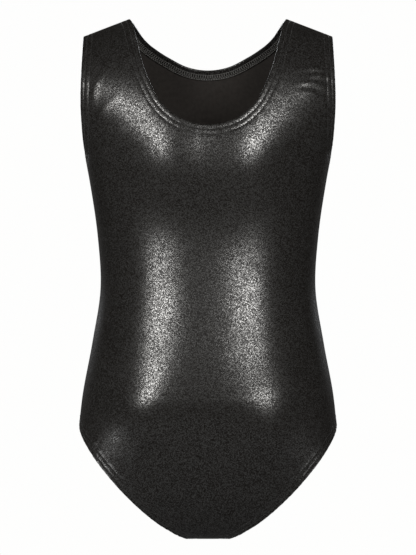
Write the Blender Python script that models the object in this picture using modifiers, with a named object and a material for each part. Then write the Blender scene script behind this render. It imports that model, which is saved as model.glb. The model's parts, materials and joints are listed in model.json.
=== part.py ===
"""A girl's tank gymnastics leotard in foil-printed stretch fabric, cut and sewn as the real one is.

Two panels, front and back, meet at the shoulder, side and crotch seams. Each opening edge is turned
over a knitted elastic and cover-stitched with two needle threads outside and a looper thread inside.
A lining covers the crotch, and a blank care label hangs in the left side seam.

The wearer faces -Y, so the wearer's left is +X. Lengths are in millimetres until points() turns them
into metres. Heights are measured from the crotch seam, and the origin is put on the shoulder line.
"""
import math

import bmesh
import bpy
import numpy as np
from mathutils import Vector
from mathutils.geometry import delaunay_2d_cdt

# Overall form. Heights are above the crotch seam, depths are from the plane of the side seams.
NECK_POINT_HEIGHT = 550.0
SHOULDER_DROP = 19.0
UNDERARM_HEIGHT = 408.0
WAIST_HEIGHT = 266.0
HIP_HEIGHT = 150.0
LEG_SIDE_HEIGHT = 121.0
CHEST_HALF_WIDTH = 133.5
SHOULDER_HALF_WIDTH = 132.0
UNDERARM_HALF_WIDTH = 130.3
WAIST_HALF_WIDTH = 113.6
HIP_HALF_WIDTH = 132.8
LEG_SIDE_HALF_WIDTH = 136.0
FLANK_FULLNESS = 0.45  # width halfway from the waist to the hip, as a share of the way
RIB_WIDTHS = [(0.37, 0.17), (0.8, 0.70)]  # shares of the rise and of the flare above the waist
CHEST_RISE = 0.3  # where the chest is widest, as a share of the way from underarm to neck point
FLARE_UNDER_LEG = 9.0  # how much wider the sections run on under the leg opening's top
CHEST_DEPTH = {"front": 78.0, "back": 82.0}
WAIST_DEPTH = {"front": 77.0, "back": 70.0}
HIP_DEPTH = {"front": 87.0, "back": 97.0}
SECTION_ROUNDNESS = 2.35  # exponent of the superellipse that each level section follows
SEAT_ROUNDNESS = {"front": 1.7, "back": 2.1}  # the same for the profile that runs under the crotch
SHOULDER_ROUNDNESS = 2.0
SHOULDER_EASE = 40.0  # how broadly the shoulder line rounds over at the neck

# Openings
NECK_HALF_WIDTH = 82.5
NECK_DROP = {"front": 114.5, "back": 50.5}
ARMHOLE_HALF_DEPTH = 46.0
CROTCH_HALF_WIDTH = 24.0

# Cloth, elastic and thread
FABRIC = 0.6
GAP = 0.36  # between pieces that touch on the real garment
SEAM_GAP = 0.4
HEM = 11.5
RAW_EDGE_SHORT = 0.5  # the turned raw edge stops this short of the hem's own width
FOLD_CORNER = 0.9
ELASTIC_THICKNESS = 0.7
ELASTIC_FROM_EDGE = 1.7
ELASTIC_FROM_RAW_EDGE = 1.8
EDGE_NEEDLE_ROW = 5.0
INNER_NEEDLE_FROM_RAW_EDGE = 1.1
THREAD_WIDTH = 0.5
THREAD_THICKNESS = 0.3
LOOPER_THICKNESS = 0.3
LOOPER_GAP = 0.55  # its netted loops stand up from the turned edge
SEAM_ALLOWANCE = 6.0
SEAM_THICKNESS = 1.2
CROTCH_SEAM_HALF = 4.0
LINING_THICKNESS = 0.5
LINING_FRONT_HEIGHT = 74.0
LINING_BACK_HEIGHT = 58.0
LINING_HALF_WIDTH = 38.0
LINING_EDGE_CLEARANCE = 1.0
SEAM_END_CLEARANCE = 2.4  # each seam's allowance ends this far from a hem
SEAM_EASE = 0.9  # seams and lining lie a little slack inside the faceted curve of the panels

# Care label, sewn by its upright edge into the left side seam
LABEL_LENGTH = 42.0
LABEL_HEIGHT = 30.0
LABEL_THICKNESS = 0.4
LABEL_REST_ANGLE = 32.0  # from the back panel's side, in degrees

# How finely the curved pieces are divided
STATION_SPACING = {"neck": 21.0, "armhole": 13.0, "leg": 17.5}
LAYER_SPACING = 9.0
INTERIOR_SPACING = 25.0
SEED_CLEARANCE = 0.55  # between an inner place and the outline, as a share of the spacing
ROW_SAMPLES = 120
PROFILE_SAMPLES = 240
ARMHOLE_SAMPLES = 60
ON_CENTRE = 0.02
METRE = 0.001
MERGE_DISTANCE = 0.01 * METRE
MIRROR_MERGE = 0.1 * METRE

SIGN = {"front": -1.0, "back": 1.0}
FACING = {"front": 1.0, "back": -1.0}
HEM_DEPTH = 2 * FABRIC + 2 * GAP + ELASTIC_THICKNESS  # from the outer face to the turned face
ELASTIC_INNER_EDGE = HEM - ELASTIC_FROM_RAW_EDGE
NEEDLE_ROWS = {"edge": EDGE_NEEDLE_ROW, "inner": HEM - INNER_NEEDLE_FROM_RAW_EDGE}

# Half-outlines as shares of each opening's own width and drop, from the shoulder to the centre
NECK_SHAPE = {
    "front": [(1, 0), (0.955, 0.07), (0.87, 0.32), (0.775, 0.54), (0.62, 0.765), (0.42, 0.91),
              (0.21, 0.98), (0, 1)],
    "back": [(1, 0), (0.955, 0.07), (0.885, 0.24), (0.81, 0.395), (0.70, 0.545), (0.52, 0.73),
             (0.27, 0.93), (0, 1)],
}
# The leg opening from the side seam to the crotch, as shares of the way across and of the way down
LEG_SHAPE = [(0, 0), (0.01, 0.06), (0.045, 0.13), (0.108, 0.225), (0.24, 0.39), (0.41, 0.572),
             (0.60, 0.746), (0.75, 0.862), (0.88, 0.942), (1, 1)]


def smooth_value(table, at):
    """A smooth curve through (place, value) pairs, level outside them."""
    places = np.array([p for p, _ in table], float)
    values = np.array([v for _, v in table], float)
    slopes = np.gradient(values, places)
    slopes[0] = slopes[-1] = 0.0
    at = np.clip(np.asarray(at, float), places[0], places[-1])
    i = np.clip(np.searchsorted(places, at, side="right") - 1, 0, len(places) - 2)
    width = places[i + 1] - places[i]
    t = (at - places[i]) / width
    return (values[i] * (1 + 2 * t) * (1 - t) ** 2 + values[i + 1] * t * t * (3 - 2 * t)
            + width * slopes[i] * t * (1 - t) ** 2 - width * slopes[i + 1] * t * t * (1 - t))


def shoulder_line(x):
    """Height of the shoulder seam at a distance from the centre."""
    def spread(value):
        return np.sqrt(np.square(value) + SHOULDER_EASE ** 2)
    fall = SHOULDER_DROP / (spread(SHOULDER_HALF_WIDTH) - spread(NECK_HALF_WIDTH))
    return NECK_POINT_HEIGHT - fall * (spread(x) - spread(NECK_HALF_WIDTH))


def depth(side, level):
    """How far the centre of a section lies from the side seams' plane."""
    table = [(HIP_HEIGHT, HIP_DEPTH[side]), (WAIST_HEIGHT, WAIST_DEPTH[side]),
             (UNDERARM_HEIGHT, CHEST_DEPTH[side])]
    full = smooth_value(table, level)
    over = np.clip((level - UNDERARM_HEIGHT) / (NECK_POINT_HEIGHT - UNDERARM_HEIGHT), 0, 1)
    under = np.clip((HIP_HEIGHT - level) / HIP_HEIGHT, 0, 1)
    roll_over = (1 - over ** SHOULDER_ROUNDNESS) ** (1 / SHOULDER_ROUNDNESS)
    roll_under = (1 - under ** SEAT_ROUNDNESS[side]) ** (1 / SEAT_ROUNDNESS[side])
    return full * roll_over * roll_under


def edge_share(side, level):
    """Depth of the armhole edge as a share of the section's depth, none below the underarm."""
    over = np.clip((level - UNDERARM_HEIGHT) / (NECK_POINT_HEIGHT - UNDERARM_HEIGHT), 0, 1)
    return 2 * ARMHOLE_HALF_DEPTH / CHEST_DEPTH[side] * np.sqrt(over / (1 + over))


def half_width(side, level):
    """Half-width of the whole section. Beside an armhole it runs on past the fabric's edge."""
    chest_height = UNDERARM_HEIGHT + CHEST_RISE * (NECK_POINT_HEIGHT - UNDERARM_HEIGHT)
    rib_rise = UNDERARM_HEIGHT - WAIST_HEIGHT
    rib_flare = UNDERARM_HALF_WIDTH - WAIST_HALF_WIDTH
    flank = WAIST_HALF_WIDTH + FLANK_FULLNESS * (HIP_HALF_WIDTH - WAIST_HALF_WIDTH)
    ribs = [(WAIST_HEIGHT + rise * rib_rise, WAIST_HALF_WIDTH + flare * rib_flare)
            for rise, flare in RIB_WIDTHS]
    table = [(0.0, LEG_SIDE_HALF_WIDTH + FLARE_UNDER_LEG), (LEG_SIDE_HEIGHT, LEG_SIDE_HALF_WIDTH),
             (HIP_HEIGHT, HIP_HALF_WIDTH), ((HIP_HEIGHT + WAIST_HEIGHT) / 2, flank),
             (WAIST_HEIGHT, WAIST_HALF_WIDTH), *ribs, (UNDERARM_HEIGHT, UNDERARM_HALF_WIDTH),
             (chest_height, CHEST_HALF_WIDTH), (NECK_POINT_HEIGHT, SHOULDER_HALF_WIDTH)]
    share = edge_share(side, level) ** SECTION_ROUNDNESS
    return smooth_value(table, level) / (1 - share) ** (1 / SECTION_ROUNDNESS)


def section_angle(side, x, level):
    """Angle of a point on its section, 0 at the centre and a quarter turn at the side seam."""
    share = np.clip(x / half_width(side, level), 0, 1)
    return np.arcsin(share ** (SECTION_ROUNDNESS / 2))


def on_section(side, angle, level):
    """Points on the body at an angle round its section and at a level."""
    power = 2 / SECTION_ROUNDNESS
    x = half_width(side, level) * np.abs(np.sin(angle)) ** power * np.sign(angle)
    round_off = np.clip(np.cos(angle), 0, 1) ** power
    y = SIGN[side] * (depth(side, level) * round_off + SEAM_GAP / 2)
    over = (level - UNDERARM_HEIGHT) / (NECK_POINT_HEIGHT - UNDERARM_HEIGHT)
    raised = UNDERARM_HEIGHT + (shoulder_line(x) - UNDERARM_HEIGHT) * over
    z = np.where(level > UNDERARM_HEIGHT, raised, level)
    return np.stack(np.broadcast_arrays(x, y, z), -1)


def level_of(x, height):
    """The section level of a point from its distance off centre and its height."""
    over = (height - UNDERARM_HEIGHT) / (shoulder_line(x) - UNDERARM_HEIGHT)
    raised = UNDERARM_HEIGHT + (NECK_POINT_HEIGHT - UNDERARM_HEIGHT) * over
    return np.where(height > UNDERARM_HEIGHT, raised, height)


class Panel:
    """One side of the body laid out flat: across is along a section, along is up its profile."""

    def __init__(self, side):
        self.side = side
        turn = np.linspace(0, math.pi / 2, PROFILE_SAMPLES)
        crotch = HIP_HEIGHT * (1 - np.sin(turn[::-1]) ** (2 / SEAT_ROUNDNESS[side]))
        shoulder = (UNDERARM_HEIGHT
                    + (NECK_POINT_HEIGHT - UNDERARM_HEIGHT) * np.sin(turn) ** (2 / SHOULDER_ROUNDNESS))
        between = np.linspace(HIP_HEIGHT, UNDERARM_HEIGHT, PROFILE_SAMPLES)[1:-1]
        self.levels = np.concatenate([crotch, between, shoulder])
        profile = np.stack([depth(side, self.levels), self.levels], -1)
        steps = np.linalg.norm(np.diff(profile, axis=0), axis=1)
        self.alongs = np.concatenate([[0], np.cumsum(steps)])
        self.top = self.alongs[-1]

    def along(self, level):
        return np.interp(level, self.levels, self.alongs)

    def section_table(self, level):
        """Matching angles and distances along the section at a level."""
        angles = np.linspace(0, math.pi / 2, ROW_SAMPLES)
        row = on_section(self.side, angles, level)
        steps = np.linalg.norm(np.diff(row, axis=0), axis=1)
        return angles, np.concatenate([[0], np.cumsum(steps)])

    def flat(self, x, level):
        """Place on the flat layout of a point at x on the section at a level."""
        angles, distances = self.section_table(level)
        return np.array([np.interp(section_angle(self.side, x, level), angles, distances),
                         self.along(level)])

    def seam_flat(self, level):
        """Place on the flat layout of the side seam at a level."""
        return np.array([self.section_table(level)[1][-1], self.along(level)])

    def armhole_flat(self, level):
        """Place on the flat layout of the armhole's edge at a level."""
        angle = np.arccos(edge_share(self.side, level) ** (SECTION_ROUNDNESS / 2))
        angles, distances = self.section_table(level)
        return np.array([np.interp(angle, angles, distances), self.along(level)])

    def body(self, place):
        """Point on the body of a place on the flat layout."""
        level = np.interp(place[1], self.alongs, self.levels)
        angles, distances = self.section_table(level)
        angle = np.interp(abs(place[0]), distances, angles) * (1 if place[0] >= 0 else -1)
        return on_section(self.side, angle, level)

    def slopes(self, place):
        """How the body point moves across and along, and its outward normal."""
        step = 1.0
        low = max(place[1] - step, 0.0)
        high = min(place[1] + step, self.top)
        reach = self.section_table(np.interp(place[1], self.alongs, self.levels))[1][-1]
        left = place[0] - step
        right = min(place[0] + step, reach)
        across = (self.body((right, place[1])) - self.body((left, place[1]))) / (right - left)
        along = (self.body((place[0], high)) - self.body((place[0], low))) / (high - low)
        normal = FACING[self.side] * np.cross(across, along)
        return across, along, normal / np.linalg.norm(normal)


PANELS = {side: Panel(side) for side in SIGN}


def resample(line, spacing):
    """The same line with evenly spaced points."""
    steps = np.linalg.norm(np.diff(line, axis=0), axis=1)
    run = np.concatenate([[0], np.cumsum(steps)])
    count = max(2, round(run[-1] / spacing) + 1)
    even = np.linspace(0, run[-1], count)
    return np.stack([np.interp(even, run, line[:, k]) for k in range(line.shape[1])], -1)


def smooth_line(points, before, after, per_piece=12):
    """A smooth line through the points, given the points that would come before and after them."""
    pts = np.array([before, *points, after], float)
    line = []
    for k in range(1, len(pts) - 2):
        a, b, c, d = pts[k - 1:k + 3]
        for t in np.arange(per_piece) / per_piece:
            line.append(0.5 * (2 * b + (c - a) * t + (2 * a - 5 * b + 4 * c - d) * t * t
                               + (3 * b - a - 3 * c + d) * t ** 3))
    line.append(pts[-2])
    return np.array(line)


def neckline(side):
    """Flat line of the neck edge from the centre to the shoulder seam."""
    panel = PANELS[side]
    places = []
    for across, down in NECK_SHAPE[side][::-1]:
        x = across * NECK_HALF_WIDTH
        height = NECK_POINT_HEIGHT - down * NECK_DROP[side]
        places.append(panel.flat(x, level_of(x, height)))
    before = places[1] * (-1, 1)
    after = np.array([places[-2][0], 2 * panel.top - places[-2][1]])
    return smooth_line(places, before, after)


def armhole(side):
    """Flat line of the armhole edge from the underarm to the shoulder seam."""
    panel = PANELS[side]
    turn = np.linspace(0, math.pi, ARMHOLE_SAMPLES)
    share = (1 - np.cos(turn)) / 2
    levels = UNDERARM_HEIGHT + (NECK_POINT_HEIGHT - UNDERARM_HEIGHT) * share
    return np.array([panel.armhole_flat(level) for level in levels])


def leg_line(side):
    """Flat line of the leg edge from the side seam to the crotch seam."""
    panel = PANELS[side]
    places = []
    for across, down in LEG_SHAPE:
        x = LEG_SIDE_HALF_WIDTH + (CROTCH_HALF_WIDTH - LEG_SIDE_HALF_WIDTH) * across
        height = LEG_SIDE_HEIGHT * (1 - down)
        places.append(panel.seam_flat(height) if across == 0 else panel.flat(x, height))
    before = np.array([2 * places[0][0] - places[1][0], places[1][1]])
    after = places[-2] * (1, -1)
    return smooth_line(places, before, after)


# A point inside each opening. The cloth runs away from it at every place on the edge.
NECK_CENTRE = np.array([0.0, 0.0, NECK_POINT_HEIGHT])
ARM_CENTRE = np.array([CHEST_HALF_WIDTH + ARMHOLE_HALF_DEPTH / 2, 0.0,
                       (UNDERARM_HEIGHT + NECK_POINT_HEIGHT) / 2])
LEG_CENTRE = np.array([LEG_SIDE_HALF_WIDTH - CROTCH_HALF_WIDTH, 0.0, LEG_SIDE_HEIGHT / 4])


def stations(side, flat_line, hole_centre, spacing):
    """Frames along an opening's edge: edge point, way into the cloth, way out of the body, flat place."""
    panel = PANELS[side]
    body_line = np.array([panel.body(place) for place in flat_line])
    joined = resample(np.hstack([body_line, flat_line]), spacing)
    frames = []
    for k, row in enumerate(joined):
        edge = panel.body(row[3:5])
        tangent = joined[min(k + 1, len(joined) - 1)][:3] - joined[max(k - 1, 0)][:3]
        if k in (0, len(joined) - 1):
            tangent = seam_tangent(edge)
        across, along, normal = panel.slopes(row[3:5])
        inward = np.cross(normal, tangent)
        inward /= np.linalg.norm(inward)
        inward *= np.sign(np.dot(inward, edge - hole_centre))
        jacobian = np.stack([across, along], -1)
        step = np.linalg.lstsq(jacobian, inward * HEM, rcond=None)[0]
        frames.append((edge, inward, normal, row[3:5] + step))
    return square_ends(frames)


def seam_tangent(edge):
    """An edge crosses each seam, and the centre line, squarely."""
    if abs(edge[0]) < 1.0:
        return np.array([1.0, 0.0, 0.0])
    return np.array([0.0, 1.0, 0.0])


def square_ends(frames):
    """Keeps the first and last frames in the plane of the seam or centre line that they lie on."""
    for k in (0, -1):
        edge, inward, normal, place = frames[k]
        axis = 0 if abs(edge[0]) < 1.0 else 1
        inward = inward.copy()
        normal = normal.copy()
        inward[axis] = normal[axis] = 0.0
        frames[k] = (edge, inward / np.linalg.norm(inward), normal / np.linalg.norm(normal), place)
    return frames


EDGES = {
    side: {
        "neck": stations(side, neckline(side), NECK_CENTRE, STATION_SPACING["neck"]),
        "armhole": stations(side, armhole(side), ARM_CENTRE, STATION_SPACING["armhole"]),
        "leg": stations(side, leg_line(side), LEG_CENTRE, STATION_SPACING["leg"]),
    }
    for side in SIGN
}


def at(frame, inwards, outwards):
    """Point of an edge frame, so far into the cloth and so far out of the body."""
    edge, inward, normal, _ = frame
    return edge + inward * inwards + normal * outwards


def points(locations):
    """Millimetres above the crotch to metres from the shoulder line."""
    return [Vector((p[0], p[1], p[2] - ORIGIN_HEIGHT)) * METRE for p in locations]


ORIGIN_HEIGHT = float(shoulder_line((NECK_HALF_WIDTH + SHOULDER_HALF_WIDTH) / 2)) - FABRIC


def clear_scene():
    for old in list(bpy.data.objects):
        bpy.data.objects.remove(old, do_unlink=True)


def collection(name):
    made = bpy.data.collections.new(name)
    bpy.context.scene.collection.children.link(made)
    return made


def material(name, colour, roughness, metallic=0.0):
    made = bpy.data.materials.new(name)
    made.use_nodes = True
    shader = made.node_tree.nodes["Principled BSDF"]
    shader.inputs["Base Color"].default_value = (*colour, 1.0)
    shader.inputs["Roughness"].default_value = roughness
    shader.inputs["Metallic"].default_value = metallic
    return made


def add_object(name, locations, faces, finish, home, origin=None):
    """A named mesh object. Its origin is the garment's unless it turns on an axis of its own."""
    verts = points(locations)
    start = points([origin])[0] if origin is not None else Vector((0, 0, 0))
    mesh = bpy.data.meshes.new(name)
    mesh.from_pydata([v - start for v in verts], [], faces)
    mesh.materials.append(finish)
    mesh.shade_smooth()
    mesh.set_sharp_from_angle(angle=math.radians(40))
    made = bpy.data.objects.new(name, mesh)
    made.location = start
    home.objects.link(made)
    return made


def inside(outline, place, margin):
    """True where a place is inside a closed outline and further than a margin from it."""
    nxt = np.roll(outline, -1, axis=0)
    run = nxt - outline
    share = np.clip(((place - outline) * run).sum(1) / np.maximum((run * run).sum(1), 1e-12), 0, 1)
    nearest = np.linalg.norm(outline + run * share[:, None] - place, axis=1).min()
    crosses = (outline[:, 1] > place[1]) != (nxt[:, 1] > place[1])
    where = outline[:, 0] + (place[1] - outline[:, 1]) * run[:, 0] / np.where(run[:, 1] == 0, 1, run[:, 1])
    return bool((crosses & (place[0] < where)).sum() % 2) and nearest > margin


def seam_places(start, end, spacing):
    """Places between two corners of a panel, without the corners themselves."""
    line = resample(np.array([start, end]), spacing)
    return list(line[1:-1])


def side_seam_places(panel, top, bottom, spacing):
    """Places down the side seam between two corners, without the corners."""
    alongs = resample(np.array([[0.0, top], [0.0, bottom]]), spacing)[1:-1, 1]
    return [panel.seam_flat(np.interp(a, panel.alongs, panel.levels)) for a in alongs]


def half_outline(side):
    """Flat outline of half a panel inside its hems, and the body point of each of its places."""
    panel = PANELS[side]
    edges = EDGES[side]
    neck = [(f[3], at(f, HEM, 0)) for f in edges["neck"]]
    arm = [(f[3], at(f, HEM, 0)) for f in edges["armhole"][::-1]]
    leg = [(f[3], at(f, HEM, 0)) for f in edges["leg"]]
    shoulder = seam_places(neck[-1][0], arm[0][0], INTERIOR_SPACING)
    side_seam = side_seam_places(panel, arm[-1][0][1], leg[0][0][1], INTERIOR_SPACING)
    crotch = seam_places(leg[-1][0], (0.0, 0.0), INTERIOR_SPACING) + [np.zeros(2)]
    centre = seam_places((0.0, 0.0), neck[0][0], INTERIOR_SPACING)

    def free(places):
        return [(p, panel.body(p)) for p in places]

    return neck + free(shoulder) + arm + free(side_seam) + leg + free(crotch) + free(centre)


def panel_interior(side):
    """Body points and faces of half a panel inside its hems."""
    panel = PANELS[side]
    outline = half_outline(side)
    flat = np.array([place for place, _ in outline])
    row_height = INTERIOR_SPACING * math.sqrt(3) / 2
    seeds = []
    for row in range(1, int(flat[:, 1].max() / row_height) + 1):
        shift = 0.5 * INTERIOR_SPACING * (row % 2)
        for column in range(1, int(flat[:, 0].max() / INTERIOR_SPACING) + 1):
            place = np.array([column * INTERIOR_SPACING - shift, row * row_height])
            if inside(flat, place, SEED_CLEARANCE * INTERIOR_SPACING):
                seeds.append(place)
    count = len(outline)
    ring = [(k, (k + 1) % count) for k in range(count)]
    laid = [Vector(p) for p in (*flat, *seeds)]
    found = delaunay_2d_cdt(laid, ring, [], 1, 0.0001)
    placed, faces, origins = found[0], found[2], found[3]
    locations = []
    for place, came_from in zip(placed, origins):
        fixed = [k for k in came_from if k < count]
        locations.append(outline[fixed[0]][1] if fixed else panel.body(np.array(place)))
    return locations, [list(f) for f in faces]


def hem_profile():
    """Outer face of a turned hem, from the panel to the raw edge, as (into the cloth, outwards)."""
    fold = HEM_DEPTH / 2
    return [(HEM, 0), (ELASTIC_INNER_EDGE, 0), (EDGE_NEEDLE_ROW, 0), (FOLD_CORNER, 0), (0, -fold),
            (FOLD_CORNER, -HEM_DEPTH), (EDGE_NEEDLE_ROW, -HEM_DEPTH),
            (ELASTIC_INNER_EDGE, -HEM_DEPTH), (HEM - RAW_EDGE_SHORT, -HEM_DEPTH)]


def make_panel(side, finish, home):
    """A panel with its hems turned in, as half a sheet, mirrored and given the fabric's thickness."""
    locations, faces = panel_interior(side)
    profile = hem_profile()
    for frames in EDGES[side].values():
        base = len(locations)
        for frame in frames:
            locations += [at(frame, w, h) for w, h in profile]
        for k in range(len(frames) - 1):
            for j in range(len(profile) - 1):
                a = base + k * len(profile) + j
                faces.append([a, a + 1, a + 1 + len(profile), a + len(profile)])
    for location in locations:
        if abs(location[0]) < ON_CENTRE:
            location[0] = 0.0
    made = add_object(f"{side}_panel", locations, faces, finish, home)
    middle = points([(0, 0, (HIP_HEIGHT + UNDERARM_HEIGHT) / 2)])[0]
    orient_panel(made, middle)
    mirror = made.modifiers.new("other_half", "MIRROR")
    mirror.use_clip = True
    mirror.merge_threshold = MIRROR_MERGE
    thick = made.modifiers.new("fabric", "SOLIDIFY")
    thick.thickness = FABRIC * METRE
    thick.offset = -1.0
    thick.use_even_offset = True
    return made


def orient_panel(made, middle):
    """Makes the sheet's outer face look away from the body."""
    work = bmesh.new()
    work.from_mesh(made.data)
    bmesh.ops.remove_doubles(work, verts=work.verts, dist=MERGE_DISTANCE)
    bmesh.ops.recalc_face_normals(work, faces=work.faces)
    widest = max(work.faces, key=lambda f: f.calc_area())
    if widest.normal.dot(widest.calc_center_median() - middle) < 0:
        bmesh.ops.reverse_faces(work, faces=work.faces)
    work.to_mesh(made.data)
    work.free()


def loft(name, rings, finish, home, closed, mirrored=False, flip=False):
    """A closed solid from rings of section points, end to end or all the way round."""
    size = len(rings[0])
    locations = [p * (-1, 1, 1) if flip else p for ring in rings for p in ring]
    spans = len(rings) if closed else len(rings) - 1
    faces = []
    for k in range(spans):
        here = k * size
        there = (k + 1) % len(rings) * size
        for j in range(size):
            nxt = (j + 1) % size
            faces.append([here + j, here + nxt, there + nxt, there + j])
    if not closed:
        if not (mirrored and abs(rings[0][0][0]) < ON_CENTRE):
            faces.append(list(range(size)))
        if not (mirrored and abs(rings[-1][0][0]) < ON_CENTRE):
            faces.append([(spans * size) + j for j in range(size)])
    made = add_object(name, locations, faces, finish, home)
    if mirrored:
        mirror = made.modifiers.new("other_half", "MIRROR")
        mirror.use_clip = True
        mirror.merge_threshold = MIRROR_MERGE
    outwards(made)
    return made


def outwards(made):
    """Turns a solid's faces outwards, by the sign of the volume they hold."""
    work = bmesh.new()
    work.from_mesh(made.data)
    bmesh.ops.recalc_face_normals(work, faces=work.faces)
    holds = 0.0
    for face in work.faces:
        corners = [v.co for v in face.verts]
        for k in range(1, len(corners) - 1):
            holds += corners[0].dot(corners[k].cross(corners[k + 1]))
    open_ends = any(e.is_boundary for e in work.edges)
    if holds < 0 and not open_ends:
        bmesh.ops.reverse_faces(work, faces=work.faces)
    if open_ends and outer_face_looks_in(work):
        bmesh.ops.reverse_faces(work, faces=work.faces)
    work.to_mesh(made.data)
    work.free()


def outer_face_looks_in(work):
    """True where a half-solid open at the centre plane has its faces turned inwards."""
    far = max(work.faces, key=lambda f: f.calc_center_median().x)
    middle = sum((v.co for v in far.verts), Vector()) / len(far.verts)
    near = [v.co for v in work.verts if (v.co - middle).length < 0.02]
    heart = sum(near, Vector()) / len(near)
    return far.normal.dot(middle - heart) < 0


def band_section(stops, out_from, out_to):
    """Corners of a flat band's section as (into the cloth, outwards), out along it and back."""
    return [(stop, out_from) for stop in stops] + [(stop, out_to) for stop in stops[::-1]]


def thread_section(place):
    """Corners of a needle thread's section, three-sided because it is so fine."""
    return [(place, GAP + THREAD_THICKNESS), (place - THREAD_WIDTH / 2, GAP),
            (place + THREAD_WIDTH / 2, GAP)]


def opening_frames(opening):
    """Frames round an opening, front then back. The two frames at a seam become one."""
    front = EDGES["front"][opening]
    back = EDGES["back"][opening][::-1]
    frames = front[:-1] + [merged(front[-1], back[0])] + back[1:]
    if opening != "neck":
        frames = [merged(front[0], back[-1])] + frames[1:-1]
    return frames


def merged(a, b):
    """The frame halfway between two frames that face each other across a seam."""
    inward = a[1] + b[1]
    normal = a[2] + b[2]
    return ((a[0] + b[0]) / 2, inward / np.linalg.norm(inward), normal / np.linalg.norm(normal), None)


def make_band(name, opening, section, finish, home, flip=False):
    """A band that runs all the way round an opening at one place in its hem."""
    rings = [[at(frame, w, h) for w, h in section] for frame in opening_frames(opening)]
    neck = opening == "neck"
    return loft(name, rings, finish, home, closed=not neck, mirrored=neck, flip=flip)


def hem_bands():
    """Name, section and material of what is sewn into every hem."""
    elastic_top = -(FABRIC + GAP)
    elastic_stops = [ELASTIC_FROM_EDGE, EDGE_NEEDLE_ROW, ELASTIC_INNER_EDGE]
    bands = [("elastic", band_section(elastic_stops, elastic_top, elastic_top - ELASTIC_THICKNESS),
              "elastic")]
    for row, place in NEEDLE_ROWS.items():
        bands.append((f"{row}_needle_thread", thread_section(place), "thread"))
    looper = -(HEM_DEPTH + LOOPER_GAP)
    looper_stops = [NEEDLE_ROWS["edge"] - THREAD_WIDTH, NEEDLE_ROWS["inner"] + THREAD_WIDTH]
    bands.append(("looper_thread", band_section(looper_stops, looper, looper - LOOPER_THICKNESS),
                  "thread"))
    return bands


def make_hems(finishes, home):
    for part, section, slot in hem_bands():
        make_band(f"neck_{part}", "neck", section, finishes[slot], home)
        for opening in ("armhole", "leg"):
            make_band(f"left_{opening}_{part}", opening, section, finishes[slot], home)
            make_band(f"right_{opening}_{part}", opening, section, finishes[slot], home, flip=True)


def make_side_seams(finish, home):
    """The overlocked allowance inside each side seam, between the armhole hem and the leg hem."""
    top = UNDERARM_HEIGHT - HEM - GAP - SEAM_END_CLEARANCE
    bottom = LEG_SIDE_HEIGHT + HEM + GAP + SEAM_END_CLEARANCE
    heights = np.linspace(top, bottom, max(3, round((top - bottom) / INTERIOR_SPACING) + 1))
    rings = []
    for height in heights:
        outer = float(half_width("front", height)) - FABRIC - GAP - SEAM_EASE
        inner = outer - SEAM_ALLOWANCE
        half = SEAM_THICKNESS / 2
        rings.append([np.array((x, y, height))
                      for x, y in ((outer, -half), (outer, half), (inner, half), (inner, -half))])
    loft("left_side_seam", rings, finish, home, closed=False)
    loft("right_side_seam", rings, finish, home, closed=False, flip=True)


def make_shoulder_seams(finish, home):
    """The overlocked allowance under each shoulder seam, between the neck hem and the armhole hem."""
    clear = HEM + GAP + SEAM_END_CLEARANCE
    across = np.linspace(NECK_HALF_WIDTH + clear, SHOULDER_HALF_WIDTH - clear, 4)
    rings = []
    for x in across:
        outer = float(shoulder_line(x)) - FABRIC - GAP - SEAM_EASE
        inner = outer - SEAM_ALLOWANCE
        half = SEAM_THICKNESS / 2
        rings.append([np.array((x, y, z))
                      for y, z in ((-half, outer), (half, outer), (half, inner), (-half, inner))])
    loft("left_shoulder_seam", rings, finish, home, closed=False)
    loft("right_shoulder_seam", rings, finish, home, closed=False, flip=True)


def crotch_row(side, along, half):
    """Body points and normals across the crotch at a distance from its seam."""
    panel = PANELS[side]
    row = []
    for across in np.linspace(-half, half, 5):
        place = np.array([abs(across), along])
        mirror = np.array([-1.0 if across < 0 else 1.0, 1.0, 1.0])
        row.append((panel.body(place) * mirror, panel.slopes(place)[2] * mirror))
    return row


def hem_limit(side, along):
    """How far the crotch reaches to each side before its leg hem begins, at a distance from the seam."""
    inner = np.array([frame[3] for frame in EDGES[side]["leg"]])[::-1]
    return float(np.interp(along, inner[:, 1], inner[:, 0]))


def make_layer(name, rows, top, bottom, finish, home):
    """A layer of cloth under the panels: rows of body points, between two depths."""
    rings = []
    for row in rows:
        upper = [p + n * top for p, n in row]
        lower = [p + n * bottom for p, n in row]
        rings.append(upper + lower[::-1])
    return loft(name, rings, finish, home, closed=False)


def seat_rows(reach, step, widest):
    """Rows of body points from the front, over the crotch seam, to the back."""
    rows = []
    for side in ("front", "back"):
        end = reach[side]
        alongs = np.linspace(end, 0, max(2, round(end / step) + 1))
        if side == "back":
            alongs = alongs[::-1][1:]
        for along in alongs:
            half = min(widest, hem_limit(side, along) - LINING_EDGE_CLEARANCE)
            rows.append(crotch_row(side, along, half))
    return rows


def make_crotch(finishes, home):
    """The crotch seam's flattened allowance and the lining that covers it."""
    top = -(FABRIC + GAP + SEAM_EASE)
    seam = {"front": CROTCH_SEAM_HALF, "back": CROTCH_SEAM_HALF}
    make_layer("crotch_seam", seat_rows(seam, CROTCH_SEAM_HALF / 2, LINING_HALF_WIDTH),
               top, top - SEAM_THICKNESS, finishes["seam"], home)
    lining_top = top - SEAM_THICKNESS - GAP - SEAM_EASE
    reach = {"front": float(PANELS["front"].along(LINING_FRONT_HEIGHT)),
             "back": float(PANELS["back"].along(LINING_BACK_HEIGHT))}
    make_layer("crotch_lining", seat_rows(reach, LAYER_SPACING, LINING_HALF_WIDTH),
               lining_top, lining_top - LINING_THICKNESS, finishes["lining"], home)


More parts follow.
